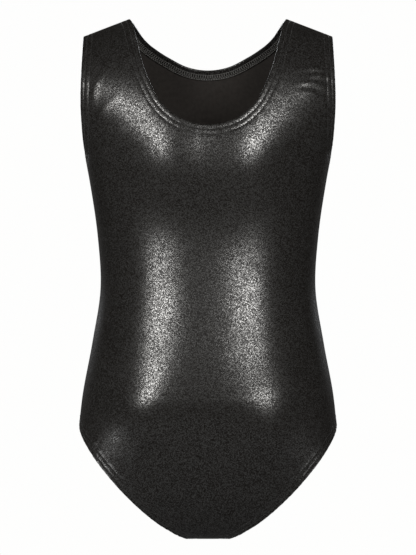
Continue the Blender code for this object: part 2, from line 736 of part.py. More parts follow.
def make_label(finish, home):
    """The blank care label, with its origin on the edge where the side seam holds it."""
    seam_inner_edge = WAIST_HALF_WIDTH - FABRIC - GAP - SEAM_EASE - SEAM_ALLOWANCE
    hinge = (seam_inner_edge - GAP - LABEL_THICKNESS, 0.0, WAIST_HEIGHT)
    bpy.ops.mesh.primitive_cube_add(size=1.0, location=(LABEL_LENGTH * METRE / 2, 0, 0))
    made = bpy.context.object
    made.name = "care_label"
    made.scale = (LABEL_LENGTH * METRE, LABEL_THICKNESS * METRE, LABEL_HEIGHT * METRE)
    bpy.ops.object.transform_apply(location=True, rotation=False, scale=True)
    made.data.materials.append(finish)
    made.location = points([hinge])[0]
    made.rotation_euler = (0, 0, math.radians(90 + LABEL_REST_ANGLE))
    for old in list(made.users_collection):
        old.objects.unlink(made)
    home.objects.link(made)
    return made


def main():
    clear_scene()
    home = collection("gymnastics_leotard")
    finishes = {
        "fabric": material("foil_fabric", (0.022, 0.021, 0.019), 0.38, 0.35),
        "elastic": material("knitted_elastic", (0.05, 0.05, 0.05), 0.85),
        "thread": material("sewing_thread", (0.03, 0.03, 0.03), 0.6),
        "seam": material("overlocked_seam", (0.025, 0.024, 0.023), 0.75),
        "lining": material("cotton_lining", (0.03, 0.03, 0.03), 0.9),
        "label": material("satin_label", (0.85, 0.85, 0.83), 0.45),
    }
    for side in SIGN:
        make_panel(side, finishes["fabric"], home)
    make_hems(finishes, home)
    make_side_seams(finishes["seam"], home)
    make_shoulder_seams(finishes["seam"], home)
    make_crotch(finishes, home)
    make_label(finishes["label"], home)


main()
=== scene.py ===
"""Looks of a girl's gymnastics leotard in foil-printed stretch fabric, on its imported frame.

The two panels are laid out flat and cut as a maker would cut them, then shaped to the body. Their
hems are turned over elastics and cover-stitched, their seams are overlocked inside, and the crotch
is lined. Lengths in the shape functions are millimetres, heights are above the crotch seam, and
place() turns them into the frame's metres.
"""
import json
import math

import bmesh
import bpy
import numpy as np
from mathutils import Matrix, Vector
from mathutils.geometry import delaunay_2d_cdt
from mathutils.kdtree import KDTree


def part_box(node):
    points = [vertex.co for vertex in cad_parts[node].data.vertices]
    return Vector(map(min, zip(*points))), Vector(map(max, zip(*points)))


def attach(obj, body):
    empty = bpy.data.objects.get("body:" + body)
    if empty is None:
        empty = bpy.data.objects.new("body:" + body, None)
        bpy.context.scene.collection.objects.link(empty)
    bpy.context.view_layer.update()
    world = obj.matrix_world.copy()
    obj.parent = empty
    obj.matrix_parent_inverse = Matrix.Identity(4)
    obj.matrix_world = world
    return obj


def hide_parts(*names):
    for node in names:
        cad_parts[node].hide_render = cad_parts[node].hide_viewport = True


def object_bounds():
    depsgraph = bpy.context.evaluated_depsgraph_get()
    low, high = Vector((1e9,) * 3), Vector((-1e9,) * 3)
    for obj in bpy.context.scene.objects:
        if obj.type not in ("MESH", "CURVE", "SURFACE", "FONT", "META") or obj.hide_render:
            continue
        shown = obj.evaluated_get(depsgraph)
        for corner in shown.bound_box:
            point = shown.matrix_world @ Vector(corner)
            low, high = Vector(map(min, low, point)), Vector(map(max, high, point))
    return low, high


bl_info = {
    "name": "Gymnastics Leotard",
    "version": (1, 0, 0),
    "blender": (4, 5, 0),
    "location": "View3D > Sidebar > Leotard",
    "description": "Builds the cloth, hems, seams, lining and label of a gymnastics leotard",
    "category": "Object",
}

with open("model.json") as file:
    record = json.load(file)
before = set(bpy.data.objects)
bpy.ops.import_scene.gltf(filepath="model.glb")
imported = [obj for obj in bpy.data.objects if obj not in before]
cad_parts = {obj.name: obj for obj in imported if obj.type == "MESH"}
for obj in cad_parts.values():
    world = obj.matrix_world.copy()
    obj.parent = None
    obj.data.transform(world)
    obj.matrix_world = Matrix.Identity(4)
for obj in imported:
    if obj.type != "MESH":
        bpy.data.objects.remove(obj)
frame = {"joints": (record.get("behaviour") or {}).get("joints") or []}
CAD_BOX = [list(corner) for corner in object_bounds()]

MM = 0.001
SIGN = {"front": -1.0, "back": 1.0}

# The body's form, as the frame has it. Heights are above the crotch seam.
NECK_POINT_HEIGHT = 550.0
SHOULDER_DROP = 19.0
UNDERARM_HEIGHT = 408.0
STRAP_HEIGHT = NECK_POINT_HEIGHT - UNDERARM_HEIGHT
WAIST_HEIGHT = 266.0
HIP_HEIGHT = 150.0
LEG_SIDE_HEIGHT = 121.0
CHEST_HALF_WIDTH = 133.5
SHOULDER_HALF_WIDTH = 132.0
UNDERARM_HALF_WIDTH = 130.3
WAIST_HALF_WIDTH = 113.6
HIP_HALF_WIDTH = 132.8
LEG_SIDE_HALF_WIDTH = 136.0
FLANK_FULLNESS = 0.45
RIB_WIDTHS = [(0.37, 0.17), (0.8, 0.70)]
CHEST_RISE = 0.3
FLARE_UNDER_LEG = 9.0
CHEST_DEPTH = {"front": 78.0, "back": 82.0}
SECTION_ROUNDNESS = 2.35
SEAT_ROUNDNESS = {"front": 1.7, "back": 2.1}
SHOULDER_ROUNDNESS = 2.0
SHOULDER_EASE = 40.0

# How full the body is in the middle of each panel: belly, waist, ribs and chest, or seat and back
FULLNESS = {
    "front": [(120, 88), (147, 88.3), (190, 86.2), (237, 81.0), (280, 76.0), (316, 73.6),
              (345, 73.6), (370, 75.2), (395, 77.2), (418, 78.0)],
    "back": [(150, 97), (205, 84), (266, 70), (330, 75), (395, 82), (430, 83)],
}

# Openings
NECK_HALF_WIDTH = 82.5
NECK_DROP = {"front": 114.5, "back": 50.5}
ARMHOLE_HALF_DEPTH = 46.0
CROTCH_HALF_WIDTH = 24.0
NECK_SHAPE = {
    "front": [(1, 0), (0.955, 0.07), (0.87, 0.32), (0.775, 0.54), (0.62, 0.765), (0.42, 0.91),
              (0.21, 0.98), (0, 1)],
    "back": [(1, 0), (0.955, 0.07), (0.885, 0.24), (0.81, 0.395), (0.70, 0.545), (0.52, 0.73),
             (0.27, 0.93), (0, 1)],
}
LEG_SHAPE = [(0, 0), (0.01, 0.06), (0.045, 0.13), (0.108, 0.225), (0.24, 0.39), (0.41, 0.572),
             (0.60, 0.746), (0.75, 0.862), (0.88, 0.942), (1, 1)]

# Cloth, hems and seams
FABRIC = 0.6
HEM = 11.5
RAW_EDGE_SHORT = 0.5
HEM_DEPTH = 2.62
FOLD_ROUND = 1.1
NEEDLE_ROWS = (5.0, 10.4)
NEEDLE_DIP = 0.18
NEEDLE_DIP_REACH = 0.75
HEM_PUFF = 0.09
EDGE_PUFF_SHARE = 0.8
TURNED_RELIEF = -0.25
ELASTIC_SPAN = (1.7, 9.7)
ELASTIC_LEVELS = (-1.0, -1.55)
LOOPER_RISE = 0.3
LOOPER_BOW = 0.3
THREAD_LIFT, THREAD_BOW = 0.25, 0.5  # of the needle thread, as shares of its width
SEAM_HALF_GAP = 0.1
SEAM_DIP = 0.75
SEAM_ROLL = 2.1
SEAM_ROWS = (0.5, 1.1, 1.8)
SEAM_ALLOWANCE = 6.0
SEAM_THICKNESS = 1.2
SEAM_INSIDE = 1.8
# How full an allowance is, from its seam to its raw edge, both as shares
ALLOWANCE_PROFILE = ((0, 0.75), (0.2, 1), (0.6, 1), (0.9, 0.95), (1, 0.55))
SEAM_END_CLEARANCE = 2.7
SIDE_SEAM_STATIONS, SIDE_SEAM_LEAN, SIDE_SEAM_WAVE = 120, 0.5, 9.0
SHOULDER_SEAM_STATIONS, SHOULDER_SEAM_LEAN, SHOULDER_SEAM_WAVE = 24, 0.4, 5.0
OVERLOCK_MIDDLE = 0.52  # how far along the allowance the loops' middle lies, as a share
OVERLOCK_SHORT = 0.6
OVERLOCK_LOOSE = 0.35
CROTCH_SEAM_HALF = 4.0
CROTCH_SEAM_STATIONS, CROTCH_SEAM_ROWS = 40, 9
CROTCH_SEAM_UNDER = 0.2
LINING_REACH = {"front": 74.0, "back": 58.0}
LINING_HALF_WIDTH = 38.0
LINING_EDGE_CLEARANCE = 1.0
LINING_UNDER_CLOTH = 1.9
LINING_OVER_SEAM = 2.0
LINING_SEAM_REACH = 9.0
LINING_THICKNESS = 0.5
LINING_COLUMNS = 41
LINING_SPACING = 2.0
LINING_RIPPLE, LINING_RIPPLE_LENGTH = 0.12, 4.1
LABEL_THICKNESS = 0.35
LABEL_COLUMNS, LABEL_ROWS = 36, 26
LABEL_SHOWING = 0.995  # the share of the label's length that shows

# Layout of the fine meshes
ROWS = 520
COLUMNS = 150
ROW_GAP = 10000.0  # keeps the rows of the lookup apart, far beyond any length on the cloth
SEED_CLEARANCE = 0.55
SEAM_SEED_GAP = 0.9
SEAM_SEED_MARGIN = 0.4
SEAM_STATION_GAP = 1.0
STATION_SPACING = 2.5
NEAR_EDGE = 34.0
PUCKER_FADE = 9.0
ON_CENTRE = 0.02
WELD = 0.004 * MM

# Wavelengths in mm and shares of the height of the puckers that an elastic draws into its hem
PUCKER_WAVES = ((4.6, 0.30), (7.3, 0.42), (11.9, 0.28))
PUCKER_HEIGHT = {"neck": 0.16, "armhole": 0.20, "leg": 0.46}
PUCKER_SEEDS = {"neck": 3, "armhole": 11, "leg": 23}
OTHER_SIDE_SHIFT = 1000.0  # so that the right openings pucker unlike the left ones
CENTRE_CALM = 15.0
SEAM_STIFFNESS = 6.0
PUCKER_WANDER, WANDER_LENGTH = 1.7, 31.0  # how far the puckers drift out of step, and over what
PUCKER_LEAST, PUCKER_SWELL, SWELL_LENGTH = 0.65, 0.35, 17.0

# Soft folds: side, across, height, angle in degrees, half-length, half-width and rise, in mm.
# Each bends a little, by a share of its length.
FOLD_BEND = 0.18
FOLDS = [
    ("front", -38, 396, 110, 52, 40, 6.4),
    ("front", 40, 394, 70, 50, 38, 5.6),
    ("front", -70, 130, 92, 36, 34, 5.6),
    ("front", 64, 118, 74, 34, 28, 5.0),
    ("front", 112, 495, -4, 11, 2.0, 1.1),
    ("front", 115, 487, 3, 12, 1.9, 1.3),
    ("front", 110, 479, -6, 14, 2.2, 1.2),
    ("front", 106, 469, -12, 12, 2.6, 0.9),
    ("front", -118, 474, 74, 15, 3.0, 0.7),
    ("front", -112, 446, 62, 20, 5.0, 0.8),
    ("front", -104, 418, 38, 24, 6.0, 0.8),
    ("front", 108, 430, -50, 22, 6.0, 0.7),
    ("front", -40, 66, 52, 16, 4.0, 0.7),
    ("front", -18, 84, 60, 12, 4.0, 0.6),
    ("front", 46, 104, -46, 18, 5.0, 0.7),
    ("front", -70, 104, 50, 20, 5.0, 0.6),
    ("back", 60, 250, 8, 40, 9.0, 1.2),
    ("back", -48, 262, -6, 44, 9.0, 1.3),
    ("back", 20, 240, 2, 36, 7.0, 0.9),
    ("back", 104, 428, 44, 24, 6.0, 0.9),
    ("back", -106, 424, -42, 24, 6.0, 0.9),
    ("back", 0, 96, 90, 60, 9.0, -1.6),
]


def smooth_value(table, at):
    """A smooth curve through (place, value) pairs, level outside them."""
    places = np.array([p for p, _ in table], float)
    values = np.array([v for _, v in table], float)
    slopes = np.gradient(values, places)
    slopes[0] = slopes[-1] = 0.0
    at = np.clip(np.asarray(at, float), places[0], places[-1])
    i = np.clip(np.searchsorted(places, at, side="right") - 1, 0, len(places) - 2)
    width = places[i + 1] - places[i]
    t = (at - places[i]) / width
    return (values[i] * (1 + 2 * t) * (1 - t) ** 2 + values[i + 1] * t * t * (3 - 2 * t)
            + width * slopes[i] * t * (1 - t) ** 2 - width * slopes[i + 1] * t * t * (1 - t))


def shoulder_line(x):
    """Height of the shoulder seam at a distance from the centre."""
    def spread(value):
        return np.sqrt(np.square(value) + SHOULDER_EASE ** 2)
    fall = SHOULDER_DROP / (spread(SHOULDER_HALF_WIDTH) - spread(NECK_HALF_WIDTH))
    return NECK_POINT_HEIGHT - fall * (spread(x) - spread(NECK_HALF_WIDTH))


ORIGIN_HEIGHT = float(shoulder_line((NECK_HALF_WIDTH + SHOULDER_HALF_WIDTH) / 2)) - FABRIC


def strap_share(level):
    """How far up the straps a level is, 0 at the underarm and 1 at the neck point."""
    return np.clip((level - UNDERARM_HEIGHT) / STRAP_HEIGHT, 0, 1)


def depth(side, level):
    """How far the centre of a section lies from the side seams' plane."""
    full = smooth_value(FULLNESS[side], level)
    over = strap_share(level)
    under = np.clip((HIP_HEIGHT - level) / HIP_HEIGHT, 0, 1)
    roll_over = (1 - over ** SHOULDER_ROUNDNESS) ** (1 / SHOULDER_ROUNDNESS)
    roll_under = (1 - under ** SEAT_ROUNDNESS[side]) ** (1 / SEAT_ROUNDNESS[side])
    return full * roll_over * roll_under


def edge_share(side, level):
    """Depth of the armhole edge as a share of the section's depth, none below the underarm."""
    over = strap_share(level)
    return 2 * ARMHOLE_HALF_DEPTH / CHEST_DEPTH[side] * np.sqrt(over / (1 + over))


def half_width(side, level):
    """Half-width of the whole section. Beside an armhole it runs on past the fabric's edge."""
    chest_height = UNDERARM_HEIGHT + CHEST_RISE * STRAP_HEIGHT
    rib_rise = UNDERARM_HEIGHT - WAIST_HEIGHT
    rib_flare = UNDERARM_HALF_WIDTH - WAIST_HALF_WIDTH
    flank = WAIST_HALF_WIDTH + FLANK_FULLNESS * (HIP_HALF_WIDTH - WAIST_HALF_WIDTH)
    ribs = [(WAIST_HEIGHT + rise * rib_rise, WAIST_HALF_WIDTH + flare * rib_flare)
            for rise, flare in RIB_WIDTHS]
    table = [(0.0, LEG_SIDE_HALF_WIDTH + FLARE_UNDER_LEG), (LEG_SIDE_HEIGHT, LEG_SIDE_HALF_WIDTH),
             (HIP_HEIGHT, HIP_HALF_WIDTH), ((HIP_HEIGHT + WAIST_HEIGHT) / 2, flank),
             (WAIST_HEIGHT, WAIST_HALF_WIDTH), *ribs, (UNDERARM_HEIGHT, UNDERARM_HALF_WIDTH),
             (chest_height, CHEST_HALF_WIDTH), (NECK_POINT_HEIGHT, SHOULDER_HALF_WIDTH)]
    share = edge_share(side, level) ** SECTION_ROUNDNESS
    return smooth_value(table, level) / (1 - share) ** (1 / SECTION_ROUNDNESS)


def section_angle(side, x, level):
    """Angle of a point on its section, 0 at the centre and a quarter turn at the side seam."""
    share = np.clip(x / half_width(side, level), 0, 1)
    return np.arcsin(share ** (SECTION_ROUNDNESS / 2))


def on_section(side, angle, level):
    """Points on the body at an angle round its section and at a level."""
    power = 2 / SECTION_ROUNDNESS
    x = half_width(side, level) * np.sin(angle) ** power
    round_off = np.clip(np.cos(angle), 0, 1) ** power
    y = SIGN[side] * (depth(side, level) * round_off + SEAM_HALF_GAP)
    over = (level - UNDERARM_HEIGHT) / STRAP_HEIGHT
    raised = UNDERARM_HEIGHT + (shoulder_line(x) - UNDERARM_HEIGHT) * over
    z = np.where(level > UNDERARM_HEIGHT, raised, level)
    return np.stack(np.broadcast_arrays(x, y, z), -1)


def level_of(x, height):
    """The section level of a point from its distance off centre and its height."""
    over = (height - UNDERARM_HEIGHT) / (shoulder_line(x) - UNDERARM_HEIGHT)
    raised = UNDERARM_HEIGHT + STRAP_HEIGHT * over
    return np.where(height > UNDERARM_HEIGHT, raised, height)


class Panel:
    """One side of the body laid out flat: across is along a section, along is up its profile."""

    def __init__(self, side):
        self.side = side
        turn = np.linspace(0, math.pi / 2, ROWS)
        crotch = HIP_HEIGHT * (1 - np.sin(turn[::-1]) ** (2 / SEAT_ROUNDNESS[side]))
        shoulder = UNDERARM_HEIGHT + STRAP_HEIGHT * np.sin(turn) ** (2 / SHOULDER_ROUNDNESS)
        between = np.linspace(HIP_HEIGHT, UNDERARM_HEIGHT, ROWS)[1:-1]
        self.levels = np.concatenate([crotch, between, shoulder])
        profile = np.stack([depth(side, self.levels), self.levels], -1)
        self.alongs = distances_along(profile)
        self.top = self.alongs[-1]
        row_levels = np.interp(np.linspace(0, self.top, ROWS), self.alongs, self.levels)
        self.rows, self.distances = self.sections(row_levels)
        self.lookup = (self.distances + np.arange(ROWS)[:, None] * ROW_GAP).ravel()

    def sections(self, levels):
        """Points of whole sections, and how far along its section each point is."""
        angles = np.linspace(0, math.pi / 2, COLUMNS)
        rows = on_section(self.side, angles[None, :], np.atleast_1d(levels)[:, None])
        steps = np.linalg.norm(np.diff(rows, axis=1), axis=2)
        return rows, np.concatenate([np.zeros((len(rows), 1)), np.cumsum(steps, axis=1)], axis=1)

    def along(self, level):
        return np.interp(level, self.levels, self.alongs)

    def level(self, along):
        return np.interp(along, self.alongs, self.levels)

    def flat_at_angle(self, angle, level):
        distances = self.sections(level)[1][0]
        return np.array([np.interp(angle, np.linspace(0, math.pi / 2, COLUMNS), distances),
                         self.along(level)])

    def flat(self, x, level):
        """Place on the flat layout of a point at x on the section at a level."""
        return self.flat_at_angle(section_angle(self.side, x, level), level)

    def seam_flat(self, level):
        """Place on the flat layout of the side seam at a level."""
        return self.flat_at_angle(math.pi / 2, level)

    def armhole_flat(self, level):
        """Place on the flat layout of the armhole's edge at a level."""
        angle = np.arccos(edge_share(self.side, level) ** (SECTION_ROUNDNESS / 2))
        return self.flat_at_angle(angle, level)

    def reach(self, along):
        """Distance from the centre line to the side seam."""
        return np.interp(along, np.linspace(0, self.top, ROWS), self.distances[:, -1])

    def on_rows(self, rows, across):
        column = np.searchsorted(self.lookup, across + rows * ROW_GAP, side="right") - 1
        column = np.clip(column - rows * COLUMNS, 0, COLUMNS - 2)
        start = self.distances[rows, column]
        share = (across - start) / (self.distances[rows, column + 1] - start)
        return (self.rows[rows, column] * (1 - share)[:, None]
                + self.rows[rows, column + 1] * share[:, None])

    def body(self, places):
        """Points on the body of places on the flat layout."""
        across = np.abs(places[:, 0])
        at = np.clip(places[:, 1] / self.top, 0, 1) * (ROWS - 1)
        low = np.clip(np.floor(at).astype(int), 0, ROWS - 2)
        share = (at - low)[:, None]
        points = self.on_rows(low, across) * (1 - share) + self.on_rows(low + 1, across) * share
        points[:, 0] *= np.where(places[:, 0] < 0, -1.0, 1.0)
        return points

    def slopes(self, places):
        """How the body point moves across and along, and its outward normal."""
        step = 1.0
        low = np.maximum(places[:, 1] - step, 0.0)
        high = np.minimum(places[:, 1] + step, self.top)
        right = np.minimum(places[:, 0] + step, self.reach(places[:, 1]))
        left = np.minimum(places[:, 0], right) - step
        across = self.body(np.stack([right, places[:, 1]], -1)) - self.body(
            np.stack([left, places[:, 1]], -1))
        along = self.body(np.stack([places[:, 0], high], -1)) - self.body(
            np.stack([places[:, 0], low], -1))
        across /= (right - left)[:, None]
        along /= (high - low)[:, None]
        return across, along, unit(-SIGN[self.side] * np.cross(across, along))


def unit(vectors):
    return vectors / np.maximum(np.linalg.norm(vectors, axis=-1, keepdims=True), 1e-12)


def distances_along(points):
    """How far along a line each of its points is."""
    return np.concatenate([[0], np.cumsum(np.linalg.norm(np.diff(points, axis=0), axis=1))])


PANELS = {side: Panel(side) for side in SIGN}


def smooth_line(points, before, after, per_piece=40):
    """A smooth line through the points, given the points that would come before and after them."""
    pts = np.array([before, *points, after], float)
    share = np.arange(per_piece)[:, None] / per_piece
    line = []
    for a, b, c, d in zip(pts, pts[1:], pts[2:], pts[3:]):
        line.append(0.5 * (2 * b + (c - a) * share + (2 * a - 5 * b + 4 * c - d) * share ** 2
                           + (3 * b - a - 3 * c + d) * share ** 3))
    return np.vstack([*line, pts[-2:-1]])


def neckline(side):
    """Flat line of the neck edge from the centre to the shoulder seam."""
    panel = PANELS[side]
    places = []
    for across, down in NECK_SHAPE[side][::-1]:
        x = across * NECK_HALF_WIDTH
        height = NECK_POINT_HEIGHT - down * NECK_DROP[side]
        places.append(panel.flat(x, float(level_of(x, height))))
    before = places[1] * (-1, 1)
    after = np.array([places[-2][0], 2 * panel.top - places[-2][1]])
    return smooth_line(places, before, after)


def armhole_line(side):
    """Flat line of the armhole edge from the underarm to the shoulder seam."""
    share = (1 - np.cos(np.linspace(0, math.pi, 160))) / 2
    levels = UNDERARM_HEIGHT + STRAP_HEIGHT * share
    return np.array([PANELS[side].armhole_flat(level) for level in levels])


def leg_line(side):
    """Flat line of the leg edge from the side seam to the crotch seam."""
    panel = PANELS[side]
    places = []
    for across, down in LEG_SHAPE:
        x = LEG_SIDE_HALF_WIDTH + (CROTCH_HALF_WIDTH - LEG_SIDE_HALF_WIDTH) * across
        height = LEG_SIDE_HEIGHT * (1 - down)
        places.append(panel.seam_flat(height) if across == 0 else panel.flat(x, height))
    before = np.array([2 * places[0][0] - places[1][0], places[1][1]])
    after = places[-2] * (1, -1)
    return smooth_line(places, before, after)


# A point inside each opening. The cloth runs away from it at every place on the edge.
OPENING_CENTRES = {
    "neck": np.array([0.0, 0.0, NECK_POINT_HEIGHT]),
    "armhole": np.array([CHEST_HALF_WIDTH + ARMHOLE_HALF_DEPTH / 2, 0.0,
                         (UNDERARM_HEIGHT + NECK_POINT_HEIGHT) / 2]),
    "leg": np.array([LEG_SIDE_HALF_WIDTH - CROTCH_HALF_WIDTH, 0.0, LEG_SIDE_HEIGHT / 4]),
}
OPENING_LINES = {"neck": neckline, "armhole": armhole_line, "leg": leg_line}


class Edge:
    """One opening's edge on one panel, as stations along it with the way into the cloth."""

    def __init__(self, side, opening, spacing):
        self.panel = PANELS[side]
        self.opening = opening
        line = OPENING_LINES[opening](side)
        body = self.panel.body(line)
        run = distances_along(body)
        self.length = run[-1]
        self.run = self.stations(spacing)
        self.places = np.stack([np.interp(self.run, run, line[:, k]) for k in (0, 1)], -1)
        edge = self.panel.body(self.places)
        tangent = np.gradient(edge, self.run, axis=0)
        for k in (0, -1):
            tangent[k] = (1.0, 0.0, 0.0) if abs(edge[k][0]) < 1.0 else (0.0, 1.0, 0.0)
        across, along, normal = self.panel.slopes(self.places)
        inward = unit(np.cross(normal, tangent))
        inward *= np.sign(((edge - OPENING_CENTRES[opening]) * inward).sum(1))[:, None]
        jacobian = np.stack([across, along], -1)
        self.steps = np.array([np.linalg.lstsq(j, w, rcond=None)[0]
                               for j, w in zip(jacobian, inward)])
        self.to_seam = self.length - self.run
        if opening != "neck":
            self.to_seam = np.minimum(self.to_seam, self.run)

    def stations(self, spacing):
        """Even stations, with the closer ones beside a seam that its roll needs."""
        extra = np.array([0.0, *SEAM_ROWS])
        start = np.array([0.0]) if self.opening == "neck" else extra
        margin = extra[-1] + SEAM_STATION_GAP
        first = spacing if self.opening == "neck" else margin
        count = max(2, round((self.length - margin - first) / spacing) + 1)
        middle = np.linspace(first, self.length - margin, count)
        return np.concatenate([start, middle, self.length - extra[::-1]])

    def at(self, into, out):
        """Points and normals so far into the cloth from the edge and so far out of the body."""
        places = self.places + self.steps * into
        points = self.panel.body(places)
        normals = self.panel.slopes(places)[2]
        for k in (0, -1):
            axis = 0 if abs(points[k][0]) < HEM and self.opening == "neck" and k == 0 else 1
            normals[k][axis] = 0.0
            points[k][axis] = 0.0 if axis == 0 else SIGN[self.panel.side] * SEAM_HALF_GAP
        normals = unit(normals)
        return points + normals * out, normals


EDGES = {side: {opening: Edge(side, opening, STATION_SPACING) for opening in OPENING_LINES}
         for side in SIGN}


def pucker(side, opening, run, into, flip, x):
    """How far an elastic throws its hem outwards, none where a seam stiffens it."""
    length = EDGES[side][opening].length
    random = np.random.default_rng(PUCKER_SEEDS[opening] + (side == "back"))
    to_seam = length - run
    if opening == "neck":
        phase_run = run * flip
        calm = 1.0
    else:
        phase_run = run + (OTHER_SIDE_SHIFT if flip < 0 else 0.0)
        to_seam = np.minimum(to_seam, run)
        calm = np.clip(np.abs(x) / CENTRE_CALM, 0, 1) ** 2
    wave = np.zeros(len(run))
    for wavelength, share in PUCKER_WAVES:
        phase, drift = random.uniform(0, 2 * math.pi, 2)
        wander = PUCKER_WANDER * np.sin(phase_run / WANDER_LENGTH + drift)
        wave += share * np.sin(2 * math.pi * phase_run / wavelength + phase + wander)
    swell = np.sin(phase_run / SWELL_LENGTH + random.uniform(0, 2 * math.pi))
    uneven = PUCKER_LEAST + PUCKER_SWELL * swell
    still = 1 - np.exp(-(np.maximum(to_seam, 0) / SEAM_STIFFNESS) ** 2)
    fade = np.exp(-(np.maximum(into - HEM, 0) / PUCKER_FADE) ** 2)
    return PUCKER_HEIGHT[opening] * wave * uneven * still * fade * calm


def hem_relief(into):
    """Rise of a hem's outer layer: dips where the needles draw it in, and soft between them."""
    dips = sum(np.exp(-((into - row) / NEEDLE_DIP_REACH) ** 2) for row in NEEDLE_ROWS)
    first, second = NEEDLE_ROWS
    between = np.clip((into - first) / (second - first), 0, 1)
    outer = np.clip(into / first, 0, 1)
    puff = np.sin(math.pi * between) ** 2 + EDGE_PUFF_SHARE * np.sin(math.pi * outer) ** 2
    return HEM_PUFF * puff - NEEDLE_DIP * dips


def soft_folds(side, points):
    """How far the cloth's soft folds stand out at each point."""
    rise = np.zeros(len(points))
    for where, x, height, angle, length, width, top in FOLDS:
        if where != side:
            continue
        turn = math.radians(angle)
        offset = points[:, [0, 2]] - (x, height)
        along = offset[:, 0] * math.cos(turn) + offset[:, 1] * math.sin(turn)
        off = offset[:, 1] * math.cos(turn) - offset[:, 0] * math.sin(turn)
        off = off + FOLD_BEND * along ** 2 / length
        rise += top * np.exp(-(along / length) ** 2 - (off / width) ** 2)
    return rise


def seam_roll(distance):
    """How far the cloth rolls in where it enters a seam."""
    return -SEAM_DIP * np.clip(1 - distance / SEAM_ROLL, 0, 1) ** 2


def inside(outline, places, margin):
    """True for places inside a closed outline and further than a margin from it."""
    nxt = np.roll(outline, -1, axis=0)
    run = nxt - outline
    size = np.maximum((run * run).sum(1), 1e-12)
    kept = []
    for place in places:
        share = np.clip(((place - outline) * run).sum(1) / size, 0, 1)
        gap = outline + run * share[:, None] - place
        crosses = (outline[:, 1] > place[1]) != (nxt[:, 1] > place[1])
        rise = np.where(run[:, 1] == 0, 1, run[:, 1])
        where = outline[:, 0] + (place[1] - outline[:, 1]) * run[:, 0] / rise
        odd = (crosses & (place[0] < where)).sum() % 2
        kept.append(bool(odd) and (gap * gap).sum(1).min() > margin ** 2)
    return np.array(kept)


def even(start, end, spacing, seam_start=False, seam_end=False):
    """Evenly spaced values between two ends, without the ends, closer beside a seam."""
    low = [start + row for row in SEAM_ROWS] if seam_start else []
    high = [end - row for row in SEAM_ROWS[::-1]] if seam_end else []
    first = start + (SEAM_ROWS[-1] + SEAM_STATION_GAP if seam_start else spacing)
    last = end - (SEAM_ROWS[-1] + SEAM_STATION_GAP if seam_end else spacing)
    count = max(2, round((last - first) / spacing) + 1)
    return np.array([*low, *np.linspace(first, last, count), *high])


def half_outline(side, spacing):
    """Flat outline of half a panel inside its hems."""
    panel = PANELS[side]
    inner = {name: edge.places + edge.steps * HEM for name, edge in EDGES[side].items()}
    neck, arm, leg = inner["neck"], inner["armhole"][::-1], inner["leg"]
    shoulder = [(a, panel.top) for a in even(neck[-1][0], arm[0][0], spacing)]
    seam = [(panel.reach(a), a) for a in -even(-arm[-1][1], -leg[0][1], spacing)]
    crotch = [(-a, 0.0) for a in even(-leg[-1][0], 0.0, spacing)]
    centre = [(0.0, a) for a in even(0.0, neck[0][1], spacing, seam_start=True)]
    neck[-1][1] = arm[0][1] = panel.top
    leg[-1][1] = 0.0
    arm[-1][0] = panel.reach(arm[-1][1])
    leg[0][0] = panel.reach(leg[0][1])
    marks = ([("neck", k) for k in range(len(neck))] + [None] * len(shoulder)
             + [("armhole", k) for k in range(len(arm))][::-1] + [None] * len(seam)
             + [("leg", k) for k in range(len(leg))] + [None] * (len(crotch) + 1 + len(centre)))
    return np.vstack([neck, shoulder, arm, seam, leg, crotch, [(0.0, 0.0)], centre]), marks


def seam_row_seeds(side, outline, spacing):
    """Places in rows beside the seams, where the cloth rolls in."""
    panel = PANELS[side]
    wide = outline[:, 0].max()
    seeds = []
    for row in SEAM_ROWS:
        levels = np.arange(spacing / 2, panel.top, spacing)
        seeds += [(panel.reach(a) - row, a) for a in levels]
        seeds += [(a, panel.top - row) for a in np.arange(spacing / 2, wide, spacing)]
        seeds += [(a, row) for a in np.arange(spacing / 2, wide, spacing)]
    seeds = np.array(seeds)
    return seeds[inside(outline, seeds, SEAM_SEED_MARGIN)]


def hexagonal_seeds(side, outline, spacing):
    """Places on a hexagonal grid inside the outline, clear of the seams' rows."""
    panel = PANELS[side]
    row_height = spacing * math.sqrt(3) / 2
    seeds = []
    for row in range(1, int(outline[:, 1].max() / row_height) + 1):
        shift = 0.5 * spacing * (row % 2)
        across = np.arange(spacing - shift, outline[:, 0].max(), spacing)
        seeds.append(np.stack([across, np.full(len(across), row * row_height)], -1))
    seeds = np.vstack(seeds)
    clear = SEAM_ROWS[-1] + SEAM_SEED_GAP
    free = ((panel.reach(seeds[:, 1]) - seeds[:, 0] > clear) & (panel.top - seeds[:, 1] > clear)
            & (seeds[:, 1] > clear))
    seeds = seeds[free]
    return seeds[inside(outline, seeds, SEED_CLEARANCE * spacing)]


def hem_rise(edge, into, out):
    """Relief and seam roll of a hem's outer layer, or of its turned layer."""
    if out < -HEM_DEPTH / 2:
        return np.full(len(edge.run), TURNED_RELIEF * hem_relief(into))
    return (hem_relief(into) if into < HEM else 0.0) + seam_roll(edge.to_seam)


